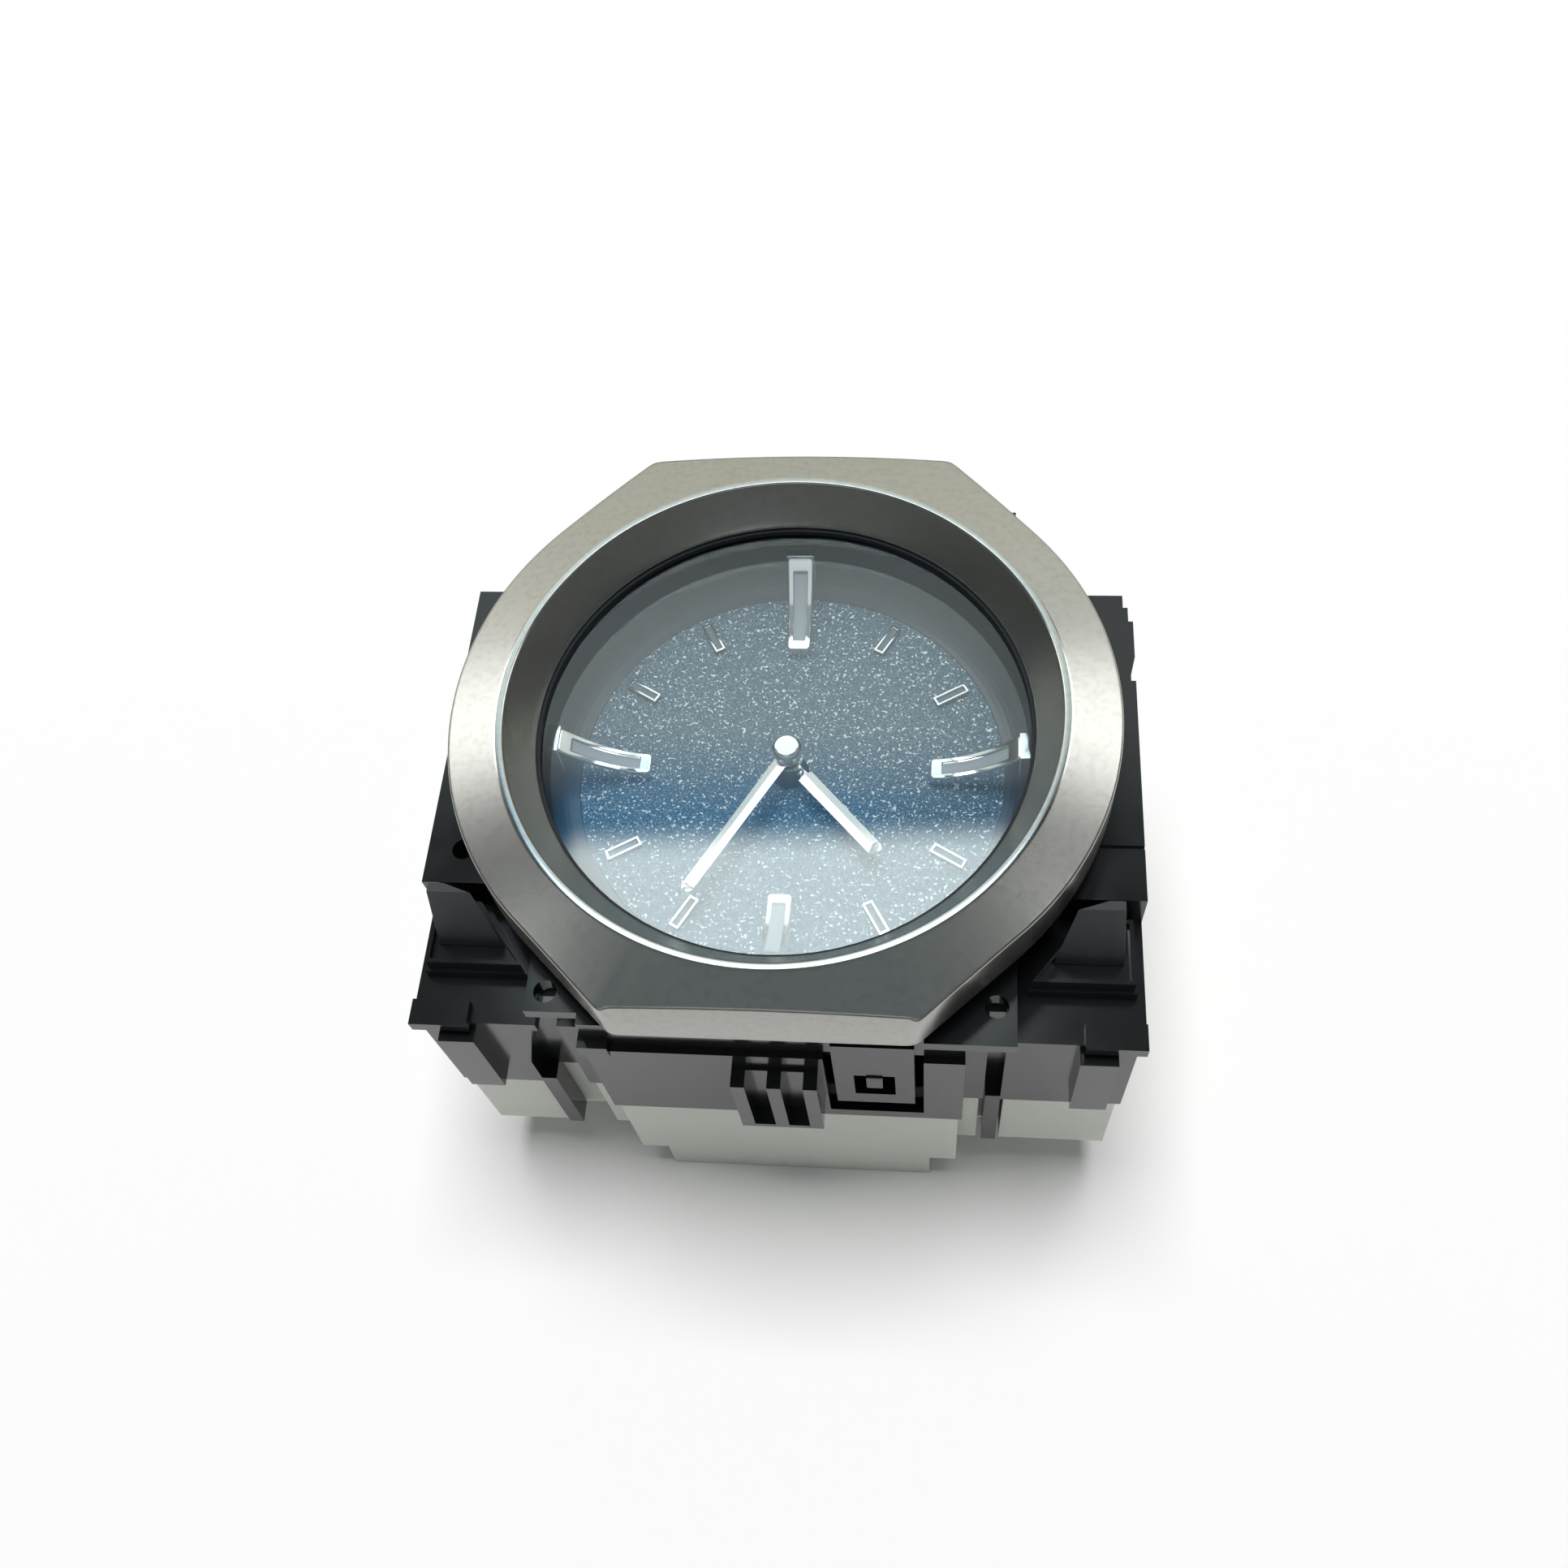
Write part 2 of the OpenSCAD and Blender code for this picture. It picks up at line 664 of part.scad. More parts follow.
// Black cup that holds the dial, ring and lens, with a shelf, movement posts and a snap nib in front
module dial_carrier() {
    flange_r = carrier_r + 0.4;
    flange_h = 0.9;
    cup_low = front_plate_low - 1;
    nib_w = 1.7;
    nib_h = 3.1;
    nib_at = tongue_x + tongue_w / 2;
    nib_low = ledge_h - 7.6;
    color(black_plastic) {
        difference() {
            union() {
                rod(carrier_r, cup_low, lens_h + lens_t, 180);
                rod(flange_r, deck_h, deck_h + flange_h, 180);
                block([nib_at - nib_w / 2, -skirt_y - 0.2, nib_low], [nib_at + nib_w / 2, -carrier_r / 2, nib_low + nib_h]);
            }
            rod(carrier_bore, shelf_top, lens_h + lens_t + 1, 180);
            rod(shelf_bore, cup_low - 1, lens_h, 180);
            rod(carrier_bore, cup_low - 1, shelf_top - shelf_t, 180);
        }
        round_axis(movement_post_at, movement_post_angles) difference() {
            rod(movement_post_r, front_plate_top, shelf_top - shelf_t);
            rod(board_screw_r + run_gap, front_plate_top - 1, shelf_top - shelf_t - 0.4);
        }
    }
}

// Black moulded housing: side wings, front ledges, skirt, ears, rails, fins and plinths
module front_housing() {
    color(black_plastic) difference() {
        union() {
            housing_shell();
            housing_ears();
            housing_posts();
            housing_rails();
            housing_fins();
            housing_plinths();
            snap_tongue();
            ribbed_catch();
            housing_lugs();
        }
        at_points(case_screws_at) rod(case_screw_r + run_gap, parting_h - 1, case_screw_tip + 0.4);
        at_points(ear_holes) rod(ear_hole_r, deck_h - deck_t - 1, deck_h + 1);
        at_points([wing_hole]) rod(ear_hole_r, deck_h - wing_hole_d, deck_h + 1);
        round_axis(bezel_post_at, bezel_post_angles) rod(bezel_screw_r + run_gap, deck_h - 2 * deck_t, deck_h + 1);
    }
}

// Walls, ledges and deck, hollow behind and open for the dial carrier
module housing_shell() {
    slot_low = parting_h + 1.8;
    difference() {
        union() {
            prism(body_plan, parting_h, ledge_h);
            for (s = [0, 1]) mirror([s, 0, 0])
                prism(rect(ear_x, deck_x, -wall_y, -wing_front), ledge_h - wall, ledge_h);
            prism(deck_plan, ledge_h - eps, deck_h);
        }
        prism(shrink(body_plan, wall), parting_h - 1, ledge_h - wall);
        prism(shrink(deck_plan, wall), ledge_h - 2 * wall, deck_h - deck_t);
        rod(carrier_r + seat_gap, parting_h - 1, deck_h + 1, 180);
        block([tongue_x - tongue_gap, -skirt_y - 1, slot_low],
            [tongue_x + tongue_w + tongue_gap, -skirt_y + wall + eps, ledge_h + eps]);
        wing_steps();
    }
}

// Small steps along the outer edge of the right wing
module wing_steps() {
    step = 0.5;
    first = 1.6;
    second = 3.4;
    notch_from = 11;
    notch_to = 8;
    seam = 0.4;
    seam_y = -wing_front + 5.6;
    block([deck_x - 2 * step, wing_far - first, ledge_h], [deck_x + 1, wing_far + 1, deck_h + 1]);
    block([deck_x - step, wing_far - second, ledge_h], [deck_x + 1, wing_far - first + eps, deck_h + 1]);
    block([deck_x - step, wing_far - notch_from, ledge_h], [deck_x + 1, wing_far - notch_to, deck_h + 1]);
    block([carrier_r, seam_y, deck_h - seam], [deck_x + 1, seam_y + seam, deck_h + 1]);
}

// Flat ears over the recesses beside the skirt
module housing_ears() {
    lap = 1;
    right_lap = 4;
    prism(rect(-ear_x, -skirt_left + lap, -ear_left_y, -notch_y + lap), deck_h - deck_t, deck_h);
    prism(rect(skirt_right - right_lap, ear_x, -ear_right_y, -notch_y + lap), deck_h - deck_t, deck_h);
}

// Posts for the rear case's screws
module housing_posts() {
    at_points(case_screws_at) rod(case_post_r, parting_h, deck_h - deck_t + eps);
}

// Guide rails on the front wall, with a stop lug over each
module housing_rails() {
    rail_to = side_x - 1.9;
    rail_low = parting_h + 2.8;
    rail_high = ledge_h - 1.2;
    lug_in = 0.4;
    lug_out = 0.7;
    lug_drop = 0.6;
    lug_back = 2;
    lug_t = 1;
    for (s = [0, 1]) mirror([s, 0, 0]) {
        block([rail_to - rail_w, -wall_y - rail_out, rail_low], [rail_to, -wall_y + eps, rail_high]);
        block([rail_to - rail_w + lug_in, -wall_y - lug_out, ledge_h - lug_drop],
            [deck_x, -wall_y + lug_back, ledge_h + lug_t]);
    }
}

// Upright fins at the outer ends of the recesses, running down over the rear case
module housing_fins() {
    web_drop = 11.3;
    web_in = 0.3;
    root_up = 1;
    web = [[-notch_left - eps, ledge_h - eps], [-notch_left - eps, ledge_h - web_drop],
        [-ear_x - web_in, ledge_h - eps]];
    fin_plates(0);
    for (x = [-notch_left, notch_right - fin_t])
        block([x, -wall_y, parting_h], [x + fin_t, -notch_y + wall, parting_h + root_up]);
    translate([0, -wall_y + wall, 0]) rotate([90, 0, 0]) linear_extrude(wall) polygon(web);
    block([skirt_right - eps, -wall_y, ledge_h - wall],
        [notch_right - notch_right_w, -notch_y + eps, deck_h - deck_t]);
}

// The fins themselves, grown by t on every side for the room they need
module fin_plates(t) {
    back = -notch_y + rear_step - 2 * seat_gap;
    for (x = [-notch_left, notch_right - fin_t])
        block([x - t, -wall_y - t, fin_low - t], [x + fin_t + t, back + t, parting_h + eps]);
}

// Inner edge of a plinth at the plan height y, just outside the bezel's round
function plinth_in(y) = sqrt(pow(bezel_r + plinth_clear, 2) - y * y);

// Plan of a guide peg's plinth on the right, set in by t, with its inner side slanted along the bezel
function plinth_plan(t, near = plinth_near) = [[plinth_in(near) + t, near + t], [deck_x - plinth_out - t, near + t],
    [deck_x - plinth_out - t, plinth_far - t], [plinth_in(plinth_far) + t, plinth_far - t]];

// Two-step plinths with a shallow tray each for the guide pegs
module housing_plinths() {
    grow = 0.35;
    step_share = 0.45;
    top = ledge_h + plinth_h;
    for (s = [0, 1]) mirror([s, 0, 0]) difference() {
        union() {
            prism(plinth_plan(-grow), ledge_h - eps, ledge_h + plinth_h * step_share);
            prism(plinth_plan(0), ledge_h - eps, top);
        }
        prism(plinth_plan(plinth_rim), top - plinth_tray, top + 1);
    }
}

// Springy tongue cut free in the skirt, with a window for the carrier's nib
module snap_tongue() {
    below_ledge = 12.7;
    low = ledge_h - below_ledge;
    root = ledge_h + 1.4;
    top = deck_h - 1.2;
    window_w = 4.1;
    window_h = 5.6;
    window_low = ledge_h - 10;
    window_high = window_low + window_h;
    mid = tongue_x + tongue_w / 2;
    difference() {
        union() {
            block([tongue_x, -skirt_y, low], [tongue_x + tongue_w, -skirt_y + wall, top]);
            block([tongue_x, -skirt_y, root], [tongue_x + tongue_w, -upper_y + eps, top]);
        }
        block([mid - window_w / 2, -skirt_y - 1, window_low], [mid + window_w / 2, -skirt_y + wall + 1, window_high]);
    }
}

// Three-ribbed catch on the skirt
module ribbed_catch() {
    low = parting_h + 1.9;
    high = ledge_h - 2.9;
    middle = 0.3;
    left = middle - catch_w / 2;
    rib_w = 1.4;
    pitch = (catch_w - rib_w) / 2;
    floor_t = 0.4;
    base_t = 0.8;
    block([left, -skirt_y - floor_t, low], [left + catch_w, -skirt_y + eps, high]);
    block([left, -skirt_y - catch_out, low], [left + catch_w, -skirt_y + eps, low + base_t]);
    for (i = [0 : 2])
        block([left + pitch * i, -skirt_y - catch_out, low], [left + pitch * i + rib_w, -skirt_y + eps, high]);
}

// Small lug on the skirt's left end
module housing_lugs() {
    out = 0.5;
    front = 0.2;
    long = 3;
    drop = 1;
    rise = 1.2;
    block([-skirt_left - out, -skirt_y - front, ledge_h - drop],
        [-skirt_left - out + long, -skirt_y + wall, ledge_h + rise]);
}

// Soft black guide peg that stands on its plinth, drawn in towards its top with a front that leans back
module guide_peg() {
    draft = 0.6;
    lean = 1.4;
    edge = 0.2;
    foot = plinth_plan(peg_set_in, plinth_near + peg_front_in);
    head = plinth_plan(peg_set_in + draft, plinth_near + peg_front_in + lean);
    low = ledge_h + plinth_h - plinth_tray;
    top = ledge_h + plinth_h + peg_h;
    hull() {
        prism(foot, low, low + edge);
        prism(head, top - edge, top);
    }
}

module right_peg() {
    color(soft_black) guide_peg();
}

module left_peg() {
    color(soft_black) mirror([1, 0, 0]) guide_peg();
}

// Screws through the rear case into the front housing's posts
module case_screws() {
    color(bright_metal) at_points(case_screws_at) {
        rod(case_screw_head_r, case_screw_seat - case_screw_head_t, case_screw_seat);
        rod(case_screw_r, case_screw_seat - eps, case_screw_tip - case_screw_point);
        translate([0, 0, case_screw_tip - case_screw_point])
            cylinder(r1 = case_screw_r, r2 = case_screw_tip_r, h = case_screw_point, $fn = rod_fn);
    }
}

// Milky rear case: side tiers, middle block and rest block, with a lip into the front housing
module rear_case() {
    outer = shrink(body_plan, rear_step);
    inner = shrink(body_plan, rear_step + rear_wall);
    lip_out = shrink(body_plan, wall + 0.15);
    lip_in = shrink(body_plan, wall + 1.35);
    block_plan = rect(-block_left, block_right, -block_front, block_far);
    rest_plan = rect(-block_left + rest_inset, block_right - rest_inset, -block_front, block_far - rest_inset);
    color(milky_white) difference() {
        union() {
            difference() {
                union() {
                    prism(outer, tier_h, parting_h);
                    prism(block_plan, block_h, tier_h + eps);
                    prism(rest_plan, 0, block_h + eps);
                    difference() {
                        prism(lip_out, parting_h - rear_wall, parting_h + lip_up);
                        at_points(case_screws_at) rod(case_post_r + 0.2, parting_h - eps, parting_h + lip_up + 1);
                    }
                }
                difference() {
                    prism(inner, tier_h + rear_wall, parting_h + lip_up + 1);
                    difference() {
                        prism(lip_out, parting_h - rear_wall, parting_h + lip_up + 1);
                        prism(lip_in, parting_h - 2 * rear_wall, parting_h + lip_up + 2);
                    }
                }
                prism(shrink(block_plan, rear_wall), block_h + rear_wall, tier_h + 2 * rear_wall);
                prism(shrink(rest_plan, rear_wall), rear_wall, block_h + 2 * rear_wall);
            }
            at_points(case_screws_at) rod(case_post_r + seat_gap, tier_h, parting_h);
            at_points(board_posts()) rod(board_post_r, tier_h + rear_wall - eps, board_h);
        }
        at_points(case_screws_at) {
            rod(case_screw_r + seat_gap, tier_h - 1, parting_h + 1);
            rod(case_screw_head_r + seat_gap, tier_h - 1, case_screw_seat);
        }
        at_points(board_posts()) rod(board_screw_r + run_gap, board_top - board_screw_len - 0.4, board_h + 1);
        socket_hole();
        fin_plates(seat_gap);
    }
}

// Where the rear case's posts carry the circuit board
function board_posts() = [for (s = [-1, 1], y = [-board_near + board_post_in, board_far - board_post_in])
    [s * (board_w / 2 - board_post_in), y]];

// Opening in the rest block for the plug socket
module socket_hole() {
    w = socket_w / 2 + socket_wall + seat_gap;
    d = socket_d / 2 + socket_wall + seat_gap;
    block([-w, socket_y - d, -1], [w, socket_y + d, rear_wall + 1]);
}

// Plug socket under the board, open towards the back
module socket() {
    w = socket_w / 2;
    d = socket_d / 2;
    pins = socket_pin_places();
    color(soft_black) difference() {
        block([-w - socket_wall, socket_y - d - socket_wall, socket_nose], [w + socket_wall, socket_y + d + socket_wall, board_h]);
        block([-w, socket_y - d, socket_nose - 1], [w, socket_y + d, board_h - socket_floor]);
        at_points(pins) block([-socket_pin / 2 - run_gap, -socket_pin / 2 - run_gap, 0],
            [socket_pin / 2 + run_gap, socket_pin / 2 + run_gap, board_h + 1]);
    }
}

// Places of the socket's pins
function socket_pin_places() = [for (i = [0 : socket_pin_count - 1])
    [(i - (socket_pin_count - 1) / 2) * socket_w / (socket_pin_count + 1), socket_y]];

// Square pins in the socket that end at the board's underside
module socket_pins() {
    color(brass_yellow) at_points(socket_pin_places())
        block([-socket_pin / 2, -socket_pin / 2, board_h - socket_floor - socket_pin_out],
            [socket_pin / 2, socket_pin / 2, board_h]);
}

// Circuit board on the rear case's posts
module circuit_board() {
    color(board_green) difference() {
        prism(rect(-board_w / 2, board_w / 2, -board_near, board_far), board_h, board_top);
        at_points(board_posts()) rod(board_screw_r + seat_gap, board_h - 1, board_top + 1);
    }
}

// Lamps on the board that light the dial from behind
module board_lamps() {
    half = lamp_size / 2;
    color("lightyellow") at_points(lamp_at) {
        block([-half, -half, board_top], [half, half, board_top + lamp_h * 0.6]);
        rod(half * 0.8, board_top, board_top + lamp_h);
    }
}

// Screws that hold the board to its posts
module board_screws() {
    color(bright_metal) at_points(board_posts()) {
        rod(board_screw_r, board_top - board_screw_len, board_top + eps);
        rod(board_screw_head_r, board_top, board_top + 1.1);
    }
}

// Places of the movement's pillars
function pillars() = [for (a = pillar_angles) polar(pillar_at, a)];

// Places of the stator's two seats on the back plate
function stator_seats() = [rotor_at + [-stator_len / 2 + 2.2, 0], rotor_at + [stator_len / 2 - 2.2, 0]];

// Back plate with pivot holes, and two seats for the stator
module movement_back_plate() {
    stator_low = magnet_low + (magnet_h - stator_t) / 2;
    color(bright_metal) difference() {
        union() {
            rod(plate_r, back_plate_low, back_plate_top);
            at_points(stator_seats()) rod(1.3, back_plate_low, stator_low);
        }
        rod(pivot_r + run_gap, back_plate_low - 1, back_plate_top + 1);
        at_points([third_at, rotor_at]) rod(pivot_r + run_gap, back_plate_low - 1, back_plate_top + 1);
    }
}

// Front plate with three arms, pivot holes, the pipe's bore and the minute wheel's stud
module movement_front_plate() {
    stud_low = level_minute - pinion_extra - 0.1;
    color(bright_metal) difference() {
        union() {
            rod(plate_r, front_plate_low, front_plate_top);
            for (a = movement_post_angles) rotate(a) {
                block([plate_r / 2, -plate_arm_w / 2, front_plate_low], [movement_post_at, plate_arm_w / 2, front_plate_top]);
                translate([movement_post_at, 0, 0]) rod(plate_arm_w / 2, front_plate_low, front_plate_top);
            }
            translate(minute_at) {
                rod(stud_r, stud_low, front_plate_low + eps);
                rod(stud_r + 0.35, stud_low - 0.3, stud_low + eps);
            }
        }
        rod(pipe_r + run_gap, front_plate_low - 1, front_plate_top + 1);
        at_points([third_at, rotor_at]) rod(pivot_r + run_gap, front_plate_low - 1, front_plate_top + 1);
        round_axis(movement_post_at, movement_post_angles)
            rod(board_screw_r + seat_gap, front_plate_low - 1, front_plate_top + 1);
    }
}

// Pillars that hold the plates apart
module movement_pillars() {
    color(brass_yellow) at_points(pillars()) rod(pillar_r, back_plate_top, front_plate_low);
}

// Screws that hold the movement to the dial carrier
module movement_screws() {
    color(bright_metal) round_axis(movement_post_at, movement_post_angles) {
        rod(board_screw_r, front_plate_low - eps, front_plate_top + movement_post_h - 0.6);
        rod(board_screw_head_r, front_plate_low - 1, front_plate_low);
    }
}

// Soft-iron frame round the rotor, with a core bar for the coil
module stator() {
    low = magnet_low + (magnet_h - stator_t) / 2;
    window_x = coil_len / 2 + flange_t + 0.2;
    color("dimgray") translate([rotor_at.x, rotor_at.y, 0]) difference() {
        prism(rect(-stator_len / 2, stator_len / 2, -core_off - core_w / 2, stator_w / 2), low, low + stator_t);
        prism(rect(-window_x, window_x, -core_off + core_w / 2, -stator_w / 2), low - 1, low + stator_t + 1);
        rod(magnet_r + magnet_air, low - 1, low + stator_t + 1);
    }
}

// Wound coil on the core bar, with end flanges and two leads down to the board
module coil() {
    mid = magnet_low + magnet_h / 2;
    half = coil_len / 2;
    lead_y = -core_off - coil_r - lead_r;
    color(copper) translate([rotor_at.x, rotor_at.y, 0]) difference() {
        union() {
            translate([-half, -core_off, mid]) rotate([0, 90, 0]) cylinder(r = coil_r - 0.5, h = coil_len, $fn = 48);
            for (x = [-half - flange_t, half])
                block([x, -core_off - coil_r - 2 * lead_r, mid - coil_r], [x + flange_t, -core_off + coil_r, mid + coil_r]);
            for (x = [-half - flange_t / 2, half + flange_t / 2])
                translate([x, lead_y, 0]) rod(lead_r, board_top, mid);
        }
        block([-stator_len, -core_off - core_w / 2 - run_gap, mid - stator_t / 2 - run_gap],
            [stator_len, -core_off + core_w / 2 + run_gap, mid + stator_t / 2 + run_gap]);
    }
}

// An arbor with a pivot at each end, running in the two plates
module pivoted_arbor() {
    shoulder = 0.2;
    rod(pivot_r, back_plate_low, front_plate_top);
    rod(small_arbor_r, back_plate_top + shoulder, front_plate_low - shoulder);
}

// Rotor: magnet, arbor and pinion
module rotor() {
    color("dimgray") translate(rotor_at) {
        pivoted_arbor();
        rod(magnet_r, magnet_low, magnet_low + magnet_h);
        gear(pinion_teeth, gear_mod, level_third - pinion_extra, level_third + gear_t + pinion_extra,
            rotor_angle + 180 + 180 / pinion_teeth);
    }
}

// Third wheel: driven by the rotor, its pinion drives the centre wheel
module third_wheel() {
    color(brass_yellow) translate(third_at) {
        pivoted_arbor();
        gear(third_teeth, gear_mod, level_third, level_third + gear_t, rotor_angle);
        gear(pinion_teeth, gear_mod, level_centre - pinion_extra, level_centre + gear_t + pinion_extra,
            third_angle + 180 + 180 / pinion_teeth);
    }
}

// Centre arbor: the minute hand's shaft with the centre wheel and the cannon pinion
module minute_arbor() {
    shoulder = 0.2;
    color(brass_yellow) {
        rod(pivot_r, back_plate_low, back_plate_top + 1);
        rod(arbor_r, back_plate_top + shoulder, cap_z);
        gear(centre_teeth, gear_mod, level_centre, level_centre + gear_t, third_angle);
        gear(cannon_teeth, motion_mod, level_minute - pinion_extra, level_minute + gear_t + pinion_extra, minute_angle);
    }
}

// Minute wheel of the motion work, turning on the front plate's stud
module minute_wheel() {
    color(brass_yellow) translate(minute_at) difference() {
        union() {
            gear(minute_teeth, motion_mod, level_minute, level_minute + gear_t, minute_angle + 180 + 180 / minute_teeth);
            gear(pinion_teeth, gear_mod, level_hour - pinion_extra, level_hour + gear_t + pinion_extra,
                minute_angle + 180 + 180 / pinion_teeth);
            rod(stud_r + 0.4, level_minute - pinion_extra, level_hour);
        }
        rod(stud_r + run_gap, level_minute - gear_step, level_hour + gear_step);
    }
}

// Hour wheel with the pipe that carries the hour hand
module hour_wheel() {
    color(brass_yellow) difference() {
        union() {
            gear(hour_teeth, gear_mod, level_hour, level_hour + gear_t, minute_angle);
            rod(pipe_r, level_hour, hour_hand_z + hand_t);
            rod(pipe_r + 0.8, level_hour, front_plate_low - 0.3);
        }
        rod(arbor_r + run_gap, level_hour - 1, hour_hand_z + hand_t + 1);
    }
}

rear_case();
circuit_board();
board_lamps();
board_screws();
socket();
socket_pins();
movement_back_plate();
stator();
coil();
rotor();
third_wheel();
minute_wheel();
minute_arbor();
hour_wheel();
movement_pillars();
movement_front_plate();
movement_screws();
front_housing();
case_screws();
left_peg();
right_peg();
dial_carrier();
light_guide();
dial_plate();
dial_ring();
quarter_markers();
hour_batons();
hour_hand();
minute_hand();
hand_cap();
lens();
gasket();
bezel();
bezel_screws();
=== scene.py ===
import math

import bmesh
import bpy
import numpy as np
from mathutils import Matrix, Vector


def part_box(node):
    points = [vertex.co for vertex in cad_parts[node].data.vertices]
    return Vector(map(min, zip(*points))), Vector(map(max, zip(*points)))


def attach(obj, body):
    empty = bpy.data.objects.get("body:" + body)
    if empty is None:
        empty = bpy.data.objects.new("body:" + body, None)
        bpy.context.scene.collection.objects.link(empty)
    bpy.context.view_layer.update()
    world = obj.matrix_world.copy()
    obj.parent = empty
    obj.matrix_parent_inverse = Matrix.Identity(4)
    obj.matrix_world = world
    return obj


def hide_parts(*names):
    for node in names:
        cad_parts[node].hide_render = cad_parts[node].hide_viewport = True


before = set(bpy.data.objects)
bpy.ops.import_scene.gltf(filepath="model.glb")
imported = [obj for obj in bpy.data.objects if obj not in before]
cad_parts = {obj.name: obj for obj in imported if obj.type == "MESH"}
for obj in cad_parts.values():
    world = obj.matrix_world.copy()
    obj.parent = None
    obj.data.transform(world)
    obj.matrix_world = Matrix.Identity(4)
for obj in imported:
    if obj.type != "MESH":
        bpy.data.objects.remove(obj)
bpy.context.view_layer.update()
MM = 0.001

# Rear case: the milky white moulding behind the black housing, with stepped floors. Injection moulded in
# one piece and held to the housing by four screws from behind.
weld_mm = 0.002
flat_angle = 1
sharp_angle = 28
large_face_weight = 100


class Field:
    """A shader socket that takes plain arithmetic with other fields and with numbers."""

    def __init__(self, tree, socket):
        self.tree = tree
        self.socket = socket

    def make(self, kind, inputs, out=0, **settings):
        """Any other shader node, with its inputs as fields or plain values."""
        node = self.tree.nodes.new("ShaderNode" + kind)
        for key, value in settings.items():
            setattr(node, key, value)
        for key, value in inputs.items():
            if isinstance(value, Field):
                self.tree.links.new(value.socket, node.inputs[key])
            else:
                node.inputs[key].default_value = value
        return Field(self.tree, node.outputs[out])

    def math(self, operation, a, b=0.0):
        """A math node on two fields or numbers."""
        return self.make("Math", {0: a, 1: b}, operation=operation)

    def __add__(self, other):
        return self.math("ADD", self, other)

    __radd__ = __add__

    def __sub__(self, other):
        return self.math("SUBTRACT", self, other)

    def __rsub__(self, other):
        return self.math("SUBTRACT", other, self)

    def __mul__(self, other):
        return self.math("MULTIPLY", self, other)

    __rmul__ = __mul__

    def noise(self, size_mm, detail=2.0):
        """Noise from 0 to 1 over this vector, with features of about that size."""
        return self.make("TexNoise", {"Vector": self, "Scale": 1 / (size_mm * MM), "Detail": detail})

    def blend(self, a, b):
        """Colour a where this field is 0 and colour b where it is 1; sockets 6 and 7 take the colours."""
        return self.make("Mix", {0: self, 6: a, 7: b}, out=2, data_type="RGBA")

    def step(self, low, high):
        """0 below low, 1 above high, smooth between."""
        limits = {"Value": self, "From Min": low, "From Max": high}
        return self.make("MapRange", limits, interpolation_type="SMOOTHSTEP")

    def specks(self, size_mm, share, radius):
        """1 inside round specks that stand in a share of the cells of that size. radius is in cells."""
        cells = {"Vector": self, "Scale": 1 / (size_mm * MM)}
        away = self.make("TexVoronoi", cells, out="Distance")
        tone = self.make("SeparateColor", {0: self.make("TexVoronoi", cells, out="Color")})
        return (1 - away.step(radius * 0.7, radius)) * (1 - tone.step(share, share + 0.01))

    def bump(self, strength, depth_mm):
        """A surface normal pushed up and down by this field."""
        return self.make("Bump", {"Height": self, "Strength": strength, "Distance": depth_mm * MM})


def paint(name, constants, varying):
    """A Principled material. constants go straight on its sockets; varying maps a socket to a
    function from the object coordinates to a field."""
    material = bpy.data.materials.new(name)
    material.use_nodes = True
    tree = material.node_tree
    shader = tree.nodes["Principled BSDF"]
    for key, value in constants.items():
        shader.inputs[key].default_value = value
    place = Field(tree, tree.nodes.new("ShaderNodeTexCoord").outputs["Object"])
    for key, build in varying.items():
        tree.links.new(build(place).socket, shader.inputs[key])
    return material


def mottled(size_mm, a, b):
    """A colour that wanders between a and b, over patches of that size."""
    return lambda place: place.noise(size_mm).blend(a, b)


def uneven(least, spread, size_mm):
    """A value that wanders between least and least + spread, over patches of that size."""
    return lambda place: least + spread * place.noise(size_mm)


def grained(size_mm, strength, depth_mm):
    """A bump with grains of that size and depth."""
    return lambda place: place.noise(size_mm).bump(strength, depth_mm)


def dress(obj, material):
    """Puts the material on the object."""
    obj.data.materials.clear()
    obj.data.materials.append(material)


def shown(name, mesh, body):
    """A new object with that mesh, which rides on the body."""
    obj = bpy.data.objects.new(name, mesh)
    bpy.context.scene.collection.objects.link(obj)
    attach(obj, body)
    return obj


def finished_copy(node, body, radius_mm, segments=2):
    """A copy of a CAD node, shown in its place. Its flat faces are joined, and edges sharper than
    sharp_angle are rounded with that radius, or with as much of it as the shortest edge leaves room for."""
    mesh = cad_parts[node].data.copy()
    work = bmesh.new()
    work.from_mesh(mesh)
    bmesh.ops.remove_doubles(work, verts=work.verts, dist=weld_mm * MM)
    bmesh.ops.dissolve_limit(work, angle_limit=math.radians(flat_angle), verts=work.verts, edges=work.edges)
    work.to_mesh(mesh)
    work.free()
    mesh.shade_smooth()
    obj = shown(node + "_finished", mesh, body)
    bevel = obj.modifiers.new("rounded edges", "BEVEL")
    bevel.width = radius_mm * MM
    bevel.segments = segments
    bevel.limit_method = "ANGLE"
    bevel.angle_limit = math.radians(sharp_angle)
    bevel.use_clamp_overlap = True
    obj.modifiers.new("flat faces shade flat", "WEIGHTED_NORMAL").weight = large_face_weight
    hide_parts(node)
    return obj


milky = paint(
    "milky plastic",
    {
        "Subsurface Weight": 0.25,
        "Subsurface Radius": (0.002, 0.0018, 0.0014),
        "Subsurface Scale": 1.0,
        "IOR": 1.47,
    },
    {
        "Base Color": mottled(9, (0.54, 0.555, 0.50, 1), (0.60, 0.61, 0.555, 1)),
        "Roughness": uneven(0.34, 0.1, 2),
        "Normal": grained(0.25, 0.08, 0.05),
    },
)
dress(finished_copy("rear_case", "case", radius_mm=0.3), milky)

